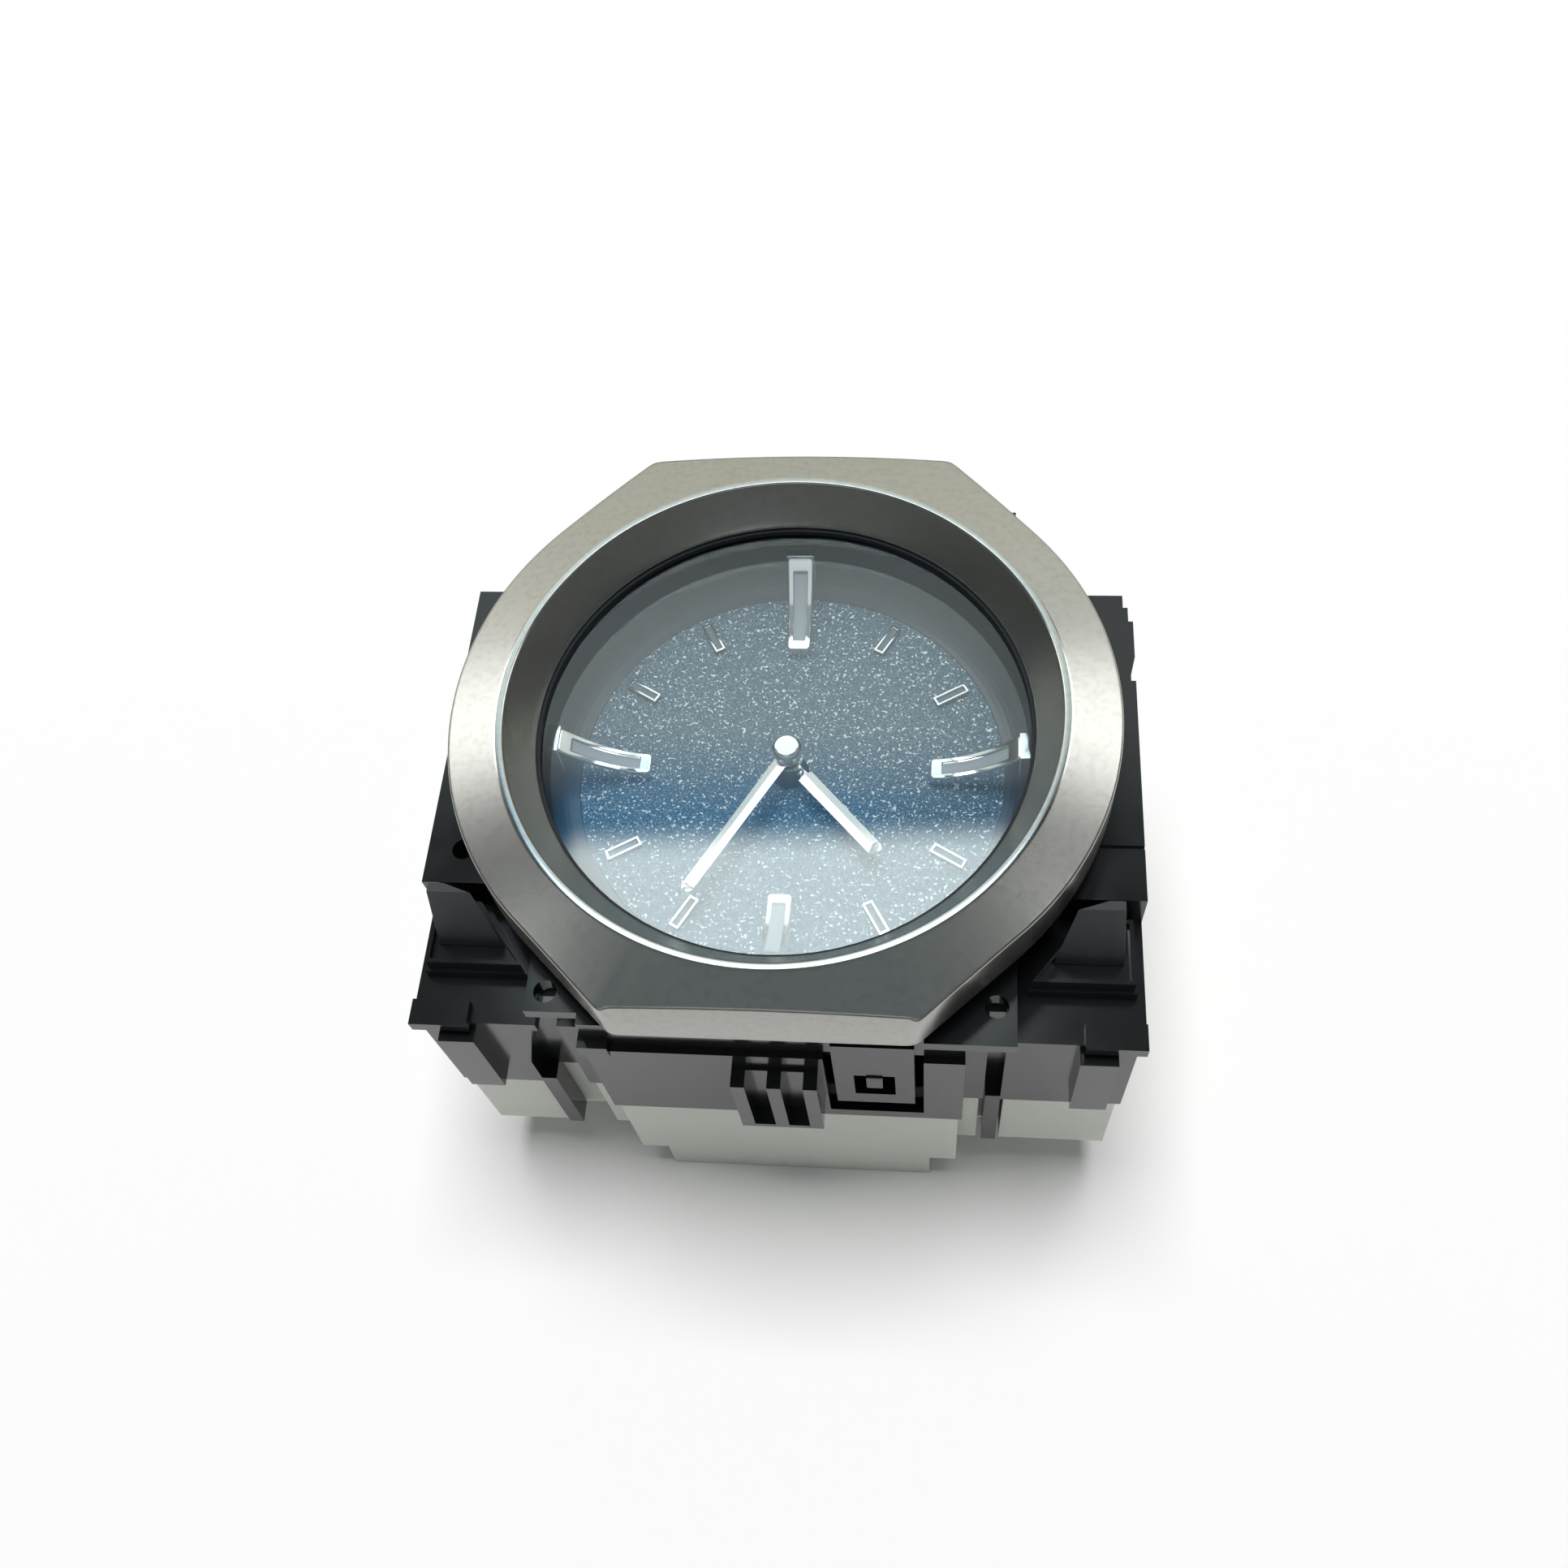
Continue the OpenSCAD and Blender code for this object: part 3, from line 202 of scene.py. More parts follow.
# Electronics: green board on the rear case's posts, with lamps, screws, a plug socket and its pins.
# They are closed in by the two housings; the socket's mouth shows from behind.
board = paint(
    "green board",
    {"IOR": 1.5},
    {
        "Base Color": mottled(3, (0.015, 0.10, 0.05, 1), (0.03, 0.16, 0.08, 1)),
        "Roughness": uneven(0.3, 0.15, 1),
    },
)
dress(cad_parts["circuit_board"], board)
lamp = paint(
    "lamp resin",
    {"IOR": 1.5, "Subsurface Weight": 0.2},
    {
        "Base Color": mottled(1, (0.80, 0.72, 0.40, 1), (0.90, 0.84, 0.55, 1)),
        "Roughness": uneven(0.25, 0.1, 0.6),
    },
)
dress(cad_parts["board_lamps"], lamp)
steel = paint(
    "screw steel",
    {"Metallic": 1.0},
    {
        "Base Color": mottled(0.8, (0.45, 0.46, 0.47, 1), (0.62, 0.62, 0.62, 1)),
        "Roughness": uneven(0.25, 0.15, 0.4),
    },
)
for screws in ("board_screws", "movement_screws", "case_screws", "bezel_screws"):
    dress(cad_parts[screws], steel)
soft_black = paint(
    "soft black plastic",
    {"IOR": 1.45},
    {
        "Base Color": mottled(2, (0.028, 0.032, 0.035, 1), (0.042, 0.046, 0.05, 1)),
        "Roughness": uneven(0.5, 0.12, 1),
        "Normal": grained(0.2, 0.15, 0.05),
    },
)
dress(finished_copy("socket", "case", radius_mm=0.15), soft_black)
brass = paint(
    "brass",
    {"Metallic": 1.0},
    {
        "Base Color": mottled(1.5, (0.62, 0.45, 0.18, 1), (0.78, 0.60, 0.28, 1)),
        "Roughness": uneven(0.22, 0.15, 0.5),
    },
)
dress(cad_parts["socket_pins"], brass)

# Movement: two steel plates on brass pillars, a stepper motor and a brass gear train. Turned, stamped
# and hobbed parts; screwed under the dial carrier and hidden by the dial.
plate = paint(
    "plate steel",
    {"Metallic": 1.0},
    {
        "Base Color": mottled(4, (0.50, 0.51, 0.52, 1), (0.64, 0.64, 0.64, 1)),
        "Roughness": uneven(0.3, 0.15, 0.6),
    },
)
for name in ("movement_back_plate", "movement_front_plate"):
    dress(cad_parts[name], plate)
for name in ("movement_pillars", "third_wheel", "minute_wheel", "minute_arbor", "hour_wheel"):
    dress(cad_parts[name], brass)
iron = paint(
    "soft iron",
    {"Metallic": 1.0},
    {
        "Base Color": mottled(2, (0.16, 0.16, 0.17, 1), (0.26, 0.26, 0.27, 1)),
        "Roughness": uneven(0.4, 0.15, 0.6),
    },
)
dress(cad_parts["stator"], iron)
dress(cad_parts["rotor"], iron)
wire_pitch = 0.18
wave_repeat = 0.314


def windings(place):
    """One ridge for each wire along X: the wave node repeats every wave_repeat / Scale."""
    ridges = {"Vector": place, "Scale": wave_repeat / (wire_pitch * MM)}
    return place.make("TexWave", ridges, out=1, bands_direction="X").bump(0.6, 0.08)


copper = paint(
    "enamelled copper",
    {"Metallic": 0.9},
    {
        "Base Color": mottled(0.8, (0.42, 0.16, 0.06, 1), (0.62, 0.28, 0.12, 1)),
        "Roughness": uneven(0.25, 0.1, 0.4),
        "Normal": windings,
    },
)
dress(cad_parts["coil"], copper)

# Front housing: glossy black moulding with ledges, deck, ears, skirt, snap tongue, ribbed catch and rails.
# One injection moulding with polished faces; the bezel and the rear case are screwed to it.
gloss_black = paint(
    "gloss black plastic",
    {"IOR": 1.45},
    {
        "Base Color": mottled(6, (0.006, 0.007, 0.008, 1), (0.010, 0.011, 0.012, 1)),
        "Roughness": uneven(0.1, 0.12, 5),
        "Normal": grained(4, 0.05, 0.1),
    },
)
dress(finished_copy("front_housing", "case", radius_mm=0.22), gloss_black)

# Guide pegs: matte black blocks on the plinths at both sides, drawn in towards the top. Moulded pieces that
# stand fixed on the ledges of the housing.
for name in ("left_peg", "right_peg"):
    dress(finished_copy(name, "case", radius_mm=0.6, segments=4), soft_black)

# Dial carrier and light guide: the black moulded cup that holds the dial, and the clear disc in it that
# lights the dial from behind. The carrier's nib snaps into the window of the housing's tongue.
dress(finished_copy("dial_carrier", "case", radius_mm=0.12), gloss_black)
guide = paint(
    "clear guide",
    {"IOR": 1.49, "Transmission Weight": 0.6},
    {
        "Base Color": mottled(6, (0.78, 0.83, 0.85, 1), (0.86, 0.90, 0.92, 1)),
        "Roughness": uneven(0.15, 0.1, 2),
    },
)
dress(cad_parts["light_guide"], guide)

# Dial plate: flat disc painted deep blue, with bright metal flecks of two sizes in the paint.
# Printed and sprayed; it lies on the clear guide inside the carrier.
coarse_fleck_mm = 0.31
fine_fleck_mm = 0.17


def fleck_share(place):
    """How much bright metal shows: the peaks of a coarse and of a fine noise, ragged every way."""
    coarse = place.noise(coarse_fleck_mm, detail=1).step(0.62, 0.70)
    fine = place.noise(fine_fleck_mm, detail=1).step(0.52, 0.66)
    return 0.8 * coarse + 0.22 * fine


def flecked_blue(place):
    """Deep blue paint with the metal's colour where flecks show."""
    return fleck_share(place).blend((0.016, 0.060, 0.092, 1), (0.78, 0.84, 0.84, 1))


dial = paint(
    "flecked dial paint",
    {"IOR": 1.5},
    {
        "Base Color": flecked_blue,
        "Roughness": uneven(0.4, 0.1, 0.5),
        "Normal": grained(0.3, 0.2, 0.05),
    },
)
dress(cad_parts["dial_plate"], dial)

# Dial ring: the smooth dished ring from the dial up to the lens. Moulded of dark plastic with a satin face;
# it lies between the dial plate and the lens.
ring = paint(
    "dark ring",
    {"IOR": 1.5},
    {
        "Base Color": mottled(5, (0.025, 0.033, 0.042, 1), (0.035, 0.045, 0.055, 1)),
        "Roughness": uneven(0.28, 0.1, 3),
    },
)
dress(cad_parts["dial_ring"], ring)

# Markers, batons and cap: four grooved bars that climb the dish, eight small framed batons, and the cap on
# the axis. Polished plated pieces with fine round edges, glued on the dial or pressed on the arbor.
# Sizes without MM are in millimetres, with heights over the dial.
dial_level = 40.5 * MM
dial_edge = 22.8
dish_wide = 3.7
dish_high = 6.8
marker_in = 15.0
marker_run = 9.1
marker_low = 1.4
marker_rise = 4.8
marker_half = 1.25
marker_widen = 0.2
marker_corner = 0.4
marker_edge = 0.2
groove_walls = ((0.50, 0.0), (0.56, 0.0), (0.60, -0.04), (0.64, -0.24), (0.68, -0.28))
groove_end_more = 0.55
groove_corner = 0.12
groove_spine_in = 0.2
# Loops at the floor of a groove that carry painted shade.
groove_shade_loops = 2
pad_len = 1.4
pad_half = 1.6
pad_top = 6.4
pad_corner = 0.2
pad_edge = 0.12
pad_overlap = 0.05
foot_sink = 0.05
knee_rise = 0.03
marker_weld = 0.001
edge_angles = np.radians(np.linspace(0, 90, 7))
corner_points = 5
side_points = 28
end_points = 3
recess_from = 0.42
recess_to = 0.5
plating_tone = mottled(2, (0.80, 0.81, 0.80, 1), (0.87, 0.88, 0.87, 1))
plating_gloss = uneven(0.08, 0.06, 1)
# Extra roughness where shade is painted on the plating.
shade_dulling = 0.4
bright = paint(
    "bright plating",
    {"Metallic": 1.0},
    {"Base Color": plating_tone, "Roughness": plating_gloss},
)


def framed(name, painted_shade, shade_colour):
    """Bright plating with painted shade where the share given second is 1: there it takes the colour given
    third, no metal and more roughness.
    """
    return paint(
        name,
        {"IOR": 1.45},
        {
            "Base Color": lambda place: painted_shade(place).blend(plating_tone(place), shade_colour),
            "Metallic": lambda place: 1 - painted_shade(place),
            "Roughness": lambda place: plating_gloss(place) + shade_dulling * painted_shade(place),
        },
    )


def groove_shade_share(place):
    """1 on the floor of a bar's groove, where shade is painted, from the mesh's own attribute."""
    return place.make("Attribute", {}, out="Fac", attribute_name="painted_shade")


def baton_shade_share(place):
    """1 in the lower half of a baton, where shade is painted: on the floor of its recess and on the lower
    part of its sides.
    """
    height = place.make("SeparateXYZ", {0: place}, out="Z")
    return 1 - height.step(dial_level + recess_from * MM, dial_level + recess_to * MM)


# Painted shade: grey on the groove floors of the bars.
bar_plating_with_shade = framed("framed bar", groove_shade_share, (0.30, 0.33, 0.34, 1))
# Painted shade: dark blue-grey on the recess floors and lower sides of the batons.
baton_plating_with_shade = framed("framed baton", baton_shade_share, (0.10, 0.125, 0.14, 1))


def rounded_plan(t_from, t_to, half, corner):
    """A loop round a rectangle with round corners: corner_points in each corner, and side_points or
    end_points along the straight runs between them."""
    corners = [
        (t_to - corner, corner - half, -90, end_points),
        (t_to - corner, half - corner, 0, side_points),
        (t_from + corner, half - corner, 90, end_points),
        (t_from + corner, corner - half, 180, side_points),
    ]
    rounds = []
    for along, across, turn, _ in corners:
        angles = np.radians(np.linspace(turn, turn + 90, corner_points))
        rounds.append(np.column_stack([along + corner * np.cos(angles), across + corner * np.sin(angles)]))
    runs = []
    for number, (_, _, _, count) in enumerate(corners):
        after = rounds[(number + 1) % len(rounds)][0]
        share = np.linspace(0, 1, count + 2)[1:-1, None]
        runs += [rounds[number], rounds[number][-1] * (1 - share) + after * share]
    return np.vstack(runs)


def floor_height(radius):
    """Height of the dial and of the dish at a radius: dish_high (1 - cos a), with
    sin a = (radius - dial_edge) / dish_wide."""
    share = np.clip((radius - dial_edge) / dish_wide, 0, 1)
    return dish_high * (1 - np.sqrt(1 - share**2))


def bar_point(loop, height):
    """A loop of the curved bar: the top rises as low + rise s^2, and height counts along its normal."""
    s = loop[:, 0] / marker_run
    slope = 2 * marker_rise * s / marker_run
    long = np.sqrt(1 + slope**2)
    r = marker_in + loop[:, 0] - height * slope / long
    z = marker_low + marker_rise * s**2 + height / long
    return np.column_stack([r, loop[:, 1] * (1 + marker_widen * s), z])


def pad_point(loop, height):
    """A loop of the level pad behind the bar, at the height pad_top + height."""
    return np.column_stack([marker_in + loop[:, 0], loop[:, 1], np.full(len(loop), pad_top + height)])


def skin_quads(rows, cols):
    """Faces that join each row of a grid of points to the next. The rows are closed loops."""
    index = np.arange(rows * cols).reshape(rows, cols)
    beside = np.roll(index, -1, axis=1)
    return np.stack([index[:-1], beside[:-1], beside[1:], index[1:]], axis=-1).reshape(-1, 4)


def loops_mesh(name, loops, turns, shade_loops):
    """Loops of points joined one to the next into a closed skin, repeated at each turn round the dial axis.
    The mesh attribute that masks painted shade is 1 on the last loops, as many as the last argument gives."""
    grid = np.stack(loops)
    rows, cols = grid.shape[:2]
    quads = skin_quads(rows, cols)
    r, across, up = grid.reshape(-1, 3).T
    points = [np.column_stack([r * c - across * s, r * s + across * c, up])
              for c, s in zip(np.cos(turns), np.sin(turns))]
    faces = [quads + number * rows * cols for number in range(len(turns))]
    mesh = bpy.data.meshes.new(name)
    mesh.from_pydata(np.vstack(points) * MM + [0, 0, dial_level], [], np.vstack(faces).tolist())
    share = np.repeat(np.arange(rows) >= rows - shade_loops, cols).astype(np.float32)
    mesh.attributes.new("painted_shade", "FLOAT", "POINT").data.foreach_set("value", np.tile(share, len(turns)))
    work = bmesh.new()
    work.from_mesh(mesh)
    bmesh.ops.remove_doubles(work, verts=work.verts, dist=marker_weld * MM)
    work.to_mesh(mesh)
    work.free()
    mesh.shade_smooth()
    return mesh


def marker_loops(point, t_from, t_to, half, corner, edge, groove):
    """Loops from the floor up the side, over the round edge and, where there is a groove, down into it."""
    def loop(side_in, end_in, round_r, height):
        """The outline set in at its sides and ends, at a height along the top's normal."""
        return point(rounded_plan(t_from + end_in, t_to - end_in, half - side_in, round_r), height)

    def on_floor(outline):
        """A loop let down on the dial and the dish, foot_sink deep."""
        return np.column_stack([outline[:, :2], floor_height(outline[:, 0]) - foot_sink])

    middle = min(half, (t_to - t_from) / 2)
    foot = on_floor(loop(0, 0, corner, -edge))
    loops = [on_floor(loop(half, middle, 0, -edge)), foot, foot + [0, 0, knee_rise]]
    for angle in edge_angles:
        inset = edge * (1 - math.cos(angle))
        loops.append(loop(inset, inset, corner - inset, edge * (math.sin(angle) - 1)))
    spine = (half, middle, 0, 0)
    for side_in, height in groove:
        end_in = side_in + groove_end_more
        loops.append(loop(side_in, end_in, groove_corner, height))
        spine = (half, end_in + groove_spine_in, 0, height)
    loops.append(loop(*spine))
    return loops


bar = marker_loops(bar_point, 0, marker_run, marker_half, marker_corner, marker_edge, groove_walls)
pad_from = marker_run - pad_overlap
pad = marker_loops(pad_point, pad_from, marker_run + pad_len, pad_half, pad_corner, pad_edge, ())
quarter_turns = np.radians((0, 90, 180, 270))
# The bars carry painted shade on their groove floors; the pads have none.
for name, loops, shade_loops, plating in (
    ("marker_bars", bar, groove_shade_loops, bar_plating_with_shade),
    ("marker_pads", pad, 0, bright),
):
    piece = shown(name, loops_mesh(name, loops, quarter_turns, shade_loops), "case")
    dress(piece, plating)
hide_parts("quarter_markers")
# The batons carry painted shade in their lower half.
dress(finished_copy("hour_batons", "case", radius_mm=0.06), baton_plating_with_shade)
dress(finished_copy("hand_cap", "minute_train", radius_mm=0.1), bright)

# Hands: two long facets that meet in a ridge, a hipped blunt tip and a hub ring. Stamped and plated; the
# hour hand is pressed on the hour pipe and the minute hand on the arbor above it.
facet_tilt = math.tan(math.radians(22))
eave = 0.2
neck_half = 0.45
tip_share = 0.35
hip_share = 0.55
nose_share = 0.3
hub_high = 0.48 * MM
hub_r = 1.5 * MM
hub_turn = np.linspace(0, 2 * math.pi, 64, endpoint=False)


def hand_mesh(name, angle, low, root, length, root_w, tip_w):
    """Six stations along the hand, each a five-point section (half, eave, ridge), turned by the angle. The
    ridge is eave + facet_tilt half as far as the hip, and then falls to the eave at the nose. low is in
    metres, the other sizes in millimetres."""
    tip_from = length - tip_share * tip_w
    hip_from = length - hip_share * tip_w
    x = np.array([neck_half, root, root, hip_from, tip_from, length])
    widen = np.clip((x - root) / (tip_from - root), 0, 1)
    half = (root_w + (tip_w - root_w) * widen) / 2
    half[:2] = neck_half
    half[-1] = nose_share * tip_w
    side = np.full(len(x), eave)
    side[:2] = eave / 2
    ridge = side + facet_tilt * half
    ridge[:2] = eave / 2
    ridge[-2] = eave + (ridge[-3] - eave) * tip_share / hip_share
    ridge[-1] = eave
    across = np.stack([-half, half, half, 0 * half, -half], axis=1)
    up = np.stack([0 * half, 0 * half, side, ridge, side], axis=1)
    along = np.repeat(x[:, None], across.shape[1], axis=1)
    turn = math.radians(angle)
    points = np.stack([along * math.cos(turn) - across * math.sin(turn),
                       along * math.sin(turn) + across * math.cos(turn), up + low / MM], axis=-1) * MM
    index = np.arange(along.size).reshape(along.shape)
    ends = [index[0][::-1].tolist(), index[-1].tolist()]
    mesh = bpy.data.meshes.new(name)
    mesh.from_pydata(points.reshape(-1, 3), [], skin_quads(*along.shape).tolist() + ends)
    return mesh


def ring_mesh(name, grid):
    """A closed tube from a grid of points: rows go round the section, columns round the ring."""
    rows, cols = grid.shape[:2]
    mesh = bpy.data.meshes.new(name)
    mesh.from_pydata(grid.reshape(-1, 3), [], (skin_quads(rows + 1, cols) % (rows * cols)).tolist())
    mesh.shade_smooth()
    return mesh


def turned_grid(section, angles, centre=(0, 0)):
    """Points (x + r cos a, y + r sin a, z) of a section of (r, z) pairs turned about an upright axis."""
    rows = []
    for r, z in section:
        x = centre[0] + r * np.cos(angles)
        y = centre[1] + r * np.sin(angles)
        rows.append(np.column_stack([x, y, np.full(len(angles), z)]))
    return np.stack(rows)


for name, body, angle, root, length, root_w, tip_w, bore in (
    ("minute_hand", "minute_train", -120, 1.0, 18.7, 1.5, 1.29, 0.6),
    ("hour_hand", "hour_train", -47.5, 2.8, 14.6, 1.7, 1.6, 1.05),
):
    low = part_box(name)[0].z
    blade_name = name + "_blade"
    blade = shown(blade_name, hand_mesh(blade_name, angle, low, root, length, root_w, tip_w), body)
    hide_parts(name)
    dress(blade, bright)
    section = ((bore * MM, low), (hub_r, low), (hub_r, low + hub_high), (bore * MM, low + hub_high))
    hub_name = name + "_hub"
    hub = shown(hub_name, ring_mesh(hub_name, turned_grid(section, hub_turn)), body)
    hub.data.shade_flat()
    dress(hub, bright)

# Lens and gasket: flat clear disc under the bezel's lip, pressed against it through a soft rubber ring.
# The lens lets light through and mirrors the room from both sides, more so at a flatter angle.
lens_ior = 1.5
lens_glass = bpy.data.materials.new("lens glass")
lens_glass.use_nodes = True
lens_tree = lens_glass.node_tree
lens_tree.nodes.remove(lens_tree.nodes["Principled BSDF"])
lens_place = Field(lens_tree, lens_tree.nodes.new("ShaderNodeTexCoord").outputs["Object"])
clear = lens_place.make("BsdfTransparent", {"Color": (0.95, 0.97, 0.98, 1)})
mirror = lens_place.make("BsdfGlossy", {"Color": (1, 1, 1, 1), "Roughness": 0.02})
behind = lens_place.make("NewGeometry", {}, out="Backfacing")
mirrored_share = lens_place.make("Fresnel", {"IOR": lens_ior + (1 / lens_ior - lens_ior) * behind})
smudge = 0.95 + 0.1 * lens_place.noise(8)
lens_mix = lens_place.make("MixShader", {0: mirrored_share * smudge, 1: clear, 2: mirror})
lens_tree.links.new(lens_mix.socket, lens_tree.nodes["Material Output"].inputs["Surface"])
dress(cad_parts["lens"], lens_glass)
rubber = paint(
    "seal rubber",
    {"IOR": 1.4},
    {
        "Base Color": mottled(1, (0.012, 0.012, 0.013, 1), (0.02, 0.02, 0.021, 1)),
        "Roughness": uneven(0.6, 0.1, 0.5),
    },
)
dress(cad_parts["gasket"], rubber)

# Bezel: satin plated ring with round sides, two flats, a sloping face, a rim and an inner cone to the lip.
# Moulded and plated, with soft edges; it stands on four posts that are screwed from under the deck.
# Sizes without MM are in millimetres, with heights over the dial.
bezel_low, bezel_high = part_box("bezel")
side_r = bezel_high.x
far_flat = bezel_high.y
near_flat = -bezel_low.y
far_half = 16.5 * MM
near_half = 14.3 * MM
corner_soft = 0.55 * MM
columns = 720
side_arc_points = 200
wall_low = 7.6
near_draft = 0.8
near_only = 6
foot_r = 0.2
edge_r = 0.3
face_fall = 0.218
rim_mid = 28.42
rim_flat = 0.45
rim_top = 14.2
rim_bead = 0.3
cone_foot = (25.55, 9.85)
lip_section = ((25.5, 9.7), (25.52, 9.45), (25.65, 9.4), (27.5, 9.4))
hollow_top = (29.4, 12.4)
hollow_wall = ((1.7, 11.4), (1.5, 11.2), (1.5, wall_low))
run_shares = np.linspace(0.03, 0.97, 8)
foot_turn = (270, 300, 330, 360)
edge_turn = (0, 20, 40, 60, 78)
bead_out_turn = (78, 84, 90)
bead_in_turn = (90, 105, 120, 135, 146)
polish_from = 0.6


def loop_through(points, count):
    """count points at equal spacing along a closed polyline."""
    closed = np.vstack([points, points[:1]])
    length = np.concatenate([[0], np.cumsum(np.linalg.norm(np.diff(closed, axis=0), axis=1))])
    want = np.linspace(0, length[-1], count, endpoint=False)
    return np.stack([np.interp(want, length, closed[:, k]) for k in range(2)], axis=1), length[-1] / count


def softened(loop, spacing, radius):
    """A closed loop averaged along itself with a bell weight exp(-s^2 / 2 radius^2), out to four radii."""
    reach_count = int(4 * radius / spacing) + 1
    offsets = np.arange(-reach_count, reach_count + 1)
    weights = np.exp(-((offsets * spacing) ** 2) / (2 * radius**2))
    weights /= weights.sum()
    return sum(w * np.roll(loop, -o, axis=0) for w, o in zip(weights, offsets))


def touch_angle(corner, side):
    """Angle where the straight run from a corner meets the round: atan2(y, x) -+ acos(r / distance)."""
    return math.atan2(corner[1], corner[0]) + side * math.acos(side_r / math.hypot(*corner))


def bezel_loop():
    """The outer edge, anticlockwise from the near flat's right corner."""
    low_corner = (near_half, -near_flat)
    high_corner = (far_half, far_flat)
    arc = np.linspace(touch_angle(low_corner, 1), touch_angle(high_corner, -1), side_arc_points)
    right = np.vstack([[low_corner], side_r * np.stack([np.cos(arc), np.sin(arc)], axis=1), [high_corner]])
    left = (right * [-1, 1])[::-1]
    loop, spacing = loop_through(np.vstack([right, left]), columns)
    return softened(loop, spacing, corner_soft)


def bezel_grid():
    """Section rows swept round: the wall rows follow the outer edge set in along its normal, the rim, cone
    and lip rows are circles, and the face rows run straight from one to the other. The face falls by
    face_fall per millimetre away from the rim, so it is one cone."""
    edge = bezel_loop()
    tangent = np.roll(edge, -1, axis=0) - np.roll(edge, 1, axis=0)
    normal = np.stack([tangent[:, 1], -tangent[:, 0]], axis=1)
    normal /= np.linalg.norm(normal, axis=1, keepdims=True)
    ray = edge / np.linalg.norm(edge, axis=1, keepdims=True)
    face_in = rim_mid + rim_flat / 2 + rim_bead
    wall_top = rim_top - face_fall * (np.linalg.norm(edge, axis=1) / MM - face_in)
    lean = near_draft * np.clip(-normal[:, 1], 0, 1) ** near_only

    def wall_row(inset, z):
        """The outer edge set in; the wall of the near flat leans back towards its top."""
        climb = (z - wall_low) / (wall_top - wall_low)
        step = (inset + lean * climb) * MM
        return np.column_stack([edge - step[:, None] * normal, z * MM + dial_level + np.zeros(columns)])

    def round_row(radius, z):
        """A circle about the dial axis."""
        return np.column_stack([radius * MM * ray, np.full(columns, z * MM + dial_level)])

    def arc_rows(make, centre_in, centre_z, radius, angles, sign):
        """Rows along a quarter-round: make(centre_in + sign radius cos a, centre_z + radius sin a)."""
        return [make(centre_in + sign * radius * math.cos(a), centre_z + radius * math.sin(a))
                for a in np.radians(angles)]

    def run_rows(first, last):
        """Rows along a straight run between two rows."""
        return [first + (last - first) * share for share in run_shares]

    foot = arc_rows(wall_row, foot_r, wall_low + foot_r, foot_r, foot_turn, -1)
    edge_round = arc_rows(wall_row, edge_r, wall_top - edge_r, edge_r, edge_turn, -1)
    bead_low = rim_top - rim_bead
    rim_round = arc_rows(round_row, rim_mid + rim_flat / 2, bead_low, rim_bead, bead_out_turn, 1)
    rim_round += arc_rows(round_row, rim_mid - rim_flat / 2, bead_low, rim_bead, bead_in_turn, 1)
    face = run_rows(edge_round[-1], rim_round[0])
    cone = run_rows(rim_round[-1], round_row(*cone_foot))
    lip = [round_row(*point) for point in lip_section]
    back = [round_row(*hollow_top)] + [wall_row(*point) for point in hollow_wall]
    return np.stack(foot + edge_round + face + rim_round + cone + lip + back)


def rim_share(place):
    """1 on the polished bead between face and cone, from the distance to the dial axis, 0 elsewhere."""
    flat = place.make("VectorMath", {0: place, 1: (1, 1, 0)}, operation="MULTIPLY")
    away = place.make("VectorMath", {0: flat}, out="Value", operation="LENGTH")
    off = away.math("ABSOLUTE", away - rim_mid * MM)
    half = rim_flat / 2 + rim_bead
    return 1 - off.step(polish_from * half * MM, half * MM)


def wear_share(place):
    """How worn the plating is: broad tone, fine mottling, and small dark specks."""
    mottle = place.noise(0.7, detail=3).step(0.42, 0.72)
    specks = place.specks(size_mm=1.8, share=0.2, radius=0.045)
    return 0.28 * place.noise(12) + 0.3 * mottle + 0.6 * specks


nickel = paint(
    "satin nickel",
    {"Metallic": 1.0},
    {
        "Base Color": lambda place: wear_share(place).blend((0.39, 0.39, 0.365, 1), (0.29, 0.29, 0.27, 1)),
        "Roughness": lambda place: 0.25 + 0.03 * place.noise(5) - 0.15 * rim_share(place),
        "Normal": grained(0.35, 0.02, 0.03),
    },
)
bezel = shown("bezel_ring", ring_mesh("bezel_ring", bezel_grid()), "case")
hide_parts("bezel")
dress(bezel, nickel)
post_angles = (60, 120, 243, 297)
post_at = 30.55 * MM
post_r = 1.2 * MM
post_bore = 0.75 * MM
post_low = 5.0 * MM + dial_level
post_high = 12.4 * MM + dial_level
post_section = ((post_bore, post_low), (post_r, post_low), (post_r, post_high), (post_bore, post_high))
post_turn = np.linspace(0, 2 * math.pi, 32, endpoint=False)
for number, angle in enumerate(post_angles):
    centre = (post_at * math.cos(math.radians(angle)), post_at * math.sin(math.radians(angle)))
    post_name = f"bezel_post_{number}"
    post = shown(post_name, ring_mesh(post_name, turned_grid(post_section, post_turn, centre)), "case")
    dress(post, nickel)

# Stage: white floor that keeps the soft shadow, surroundings that are white only to the camera, and flat
# cards of light and a window sheet overhead, laid out so that the lens, the hands and the bezel mirror them
# as they mirror a window in the photograph.
floor_reach = (-3.0, 3.0)
card_height = 0.64
room_dim = 0.19
face_up = (0, 1, 2, 3)
face_down = (3, 2, 1, 0)


def level_sheet(name, x, y, height, corner_order, material):
    """A flat rectangle between two x and two y values, as a stage piece that faces up or down by the order
    of its corners."""
    corners = [(x[0], y[0], height), (x[1], y[0], height), (x[1], y[1], height), (x[0], y[1], height)]
    mesh = bpy.data.meshes.new(name)
    mesh.from_pydata(corners, [], [corner_order])
    mesh.materials.append(material)
    obj = bpy.data.objects.new(name, mesh)
    bpy.context.scene.collection.objects.link(obj)
    return obj


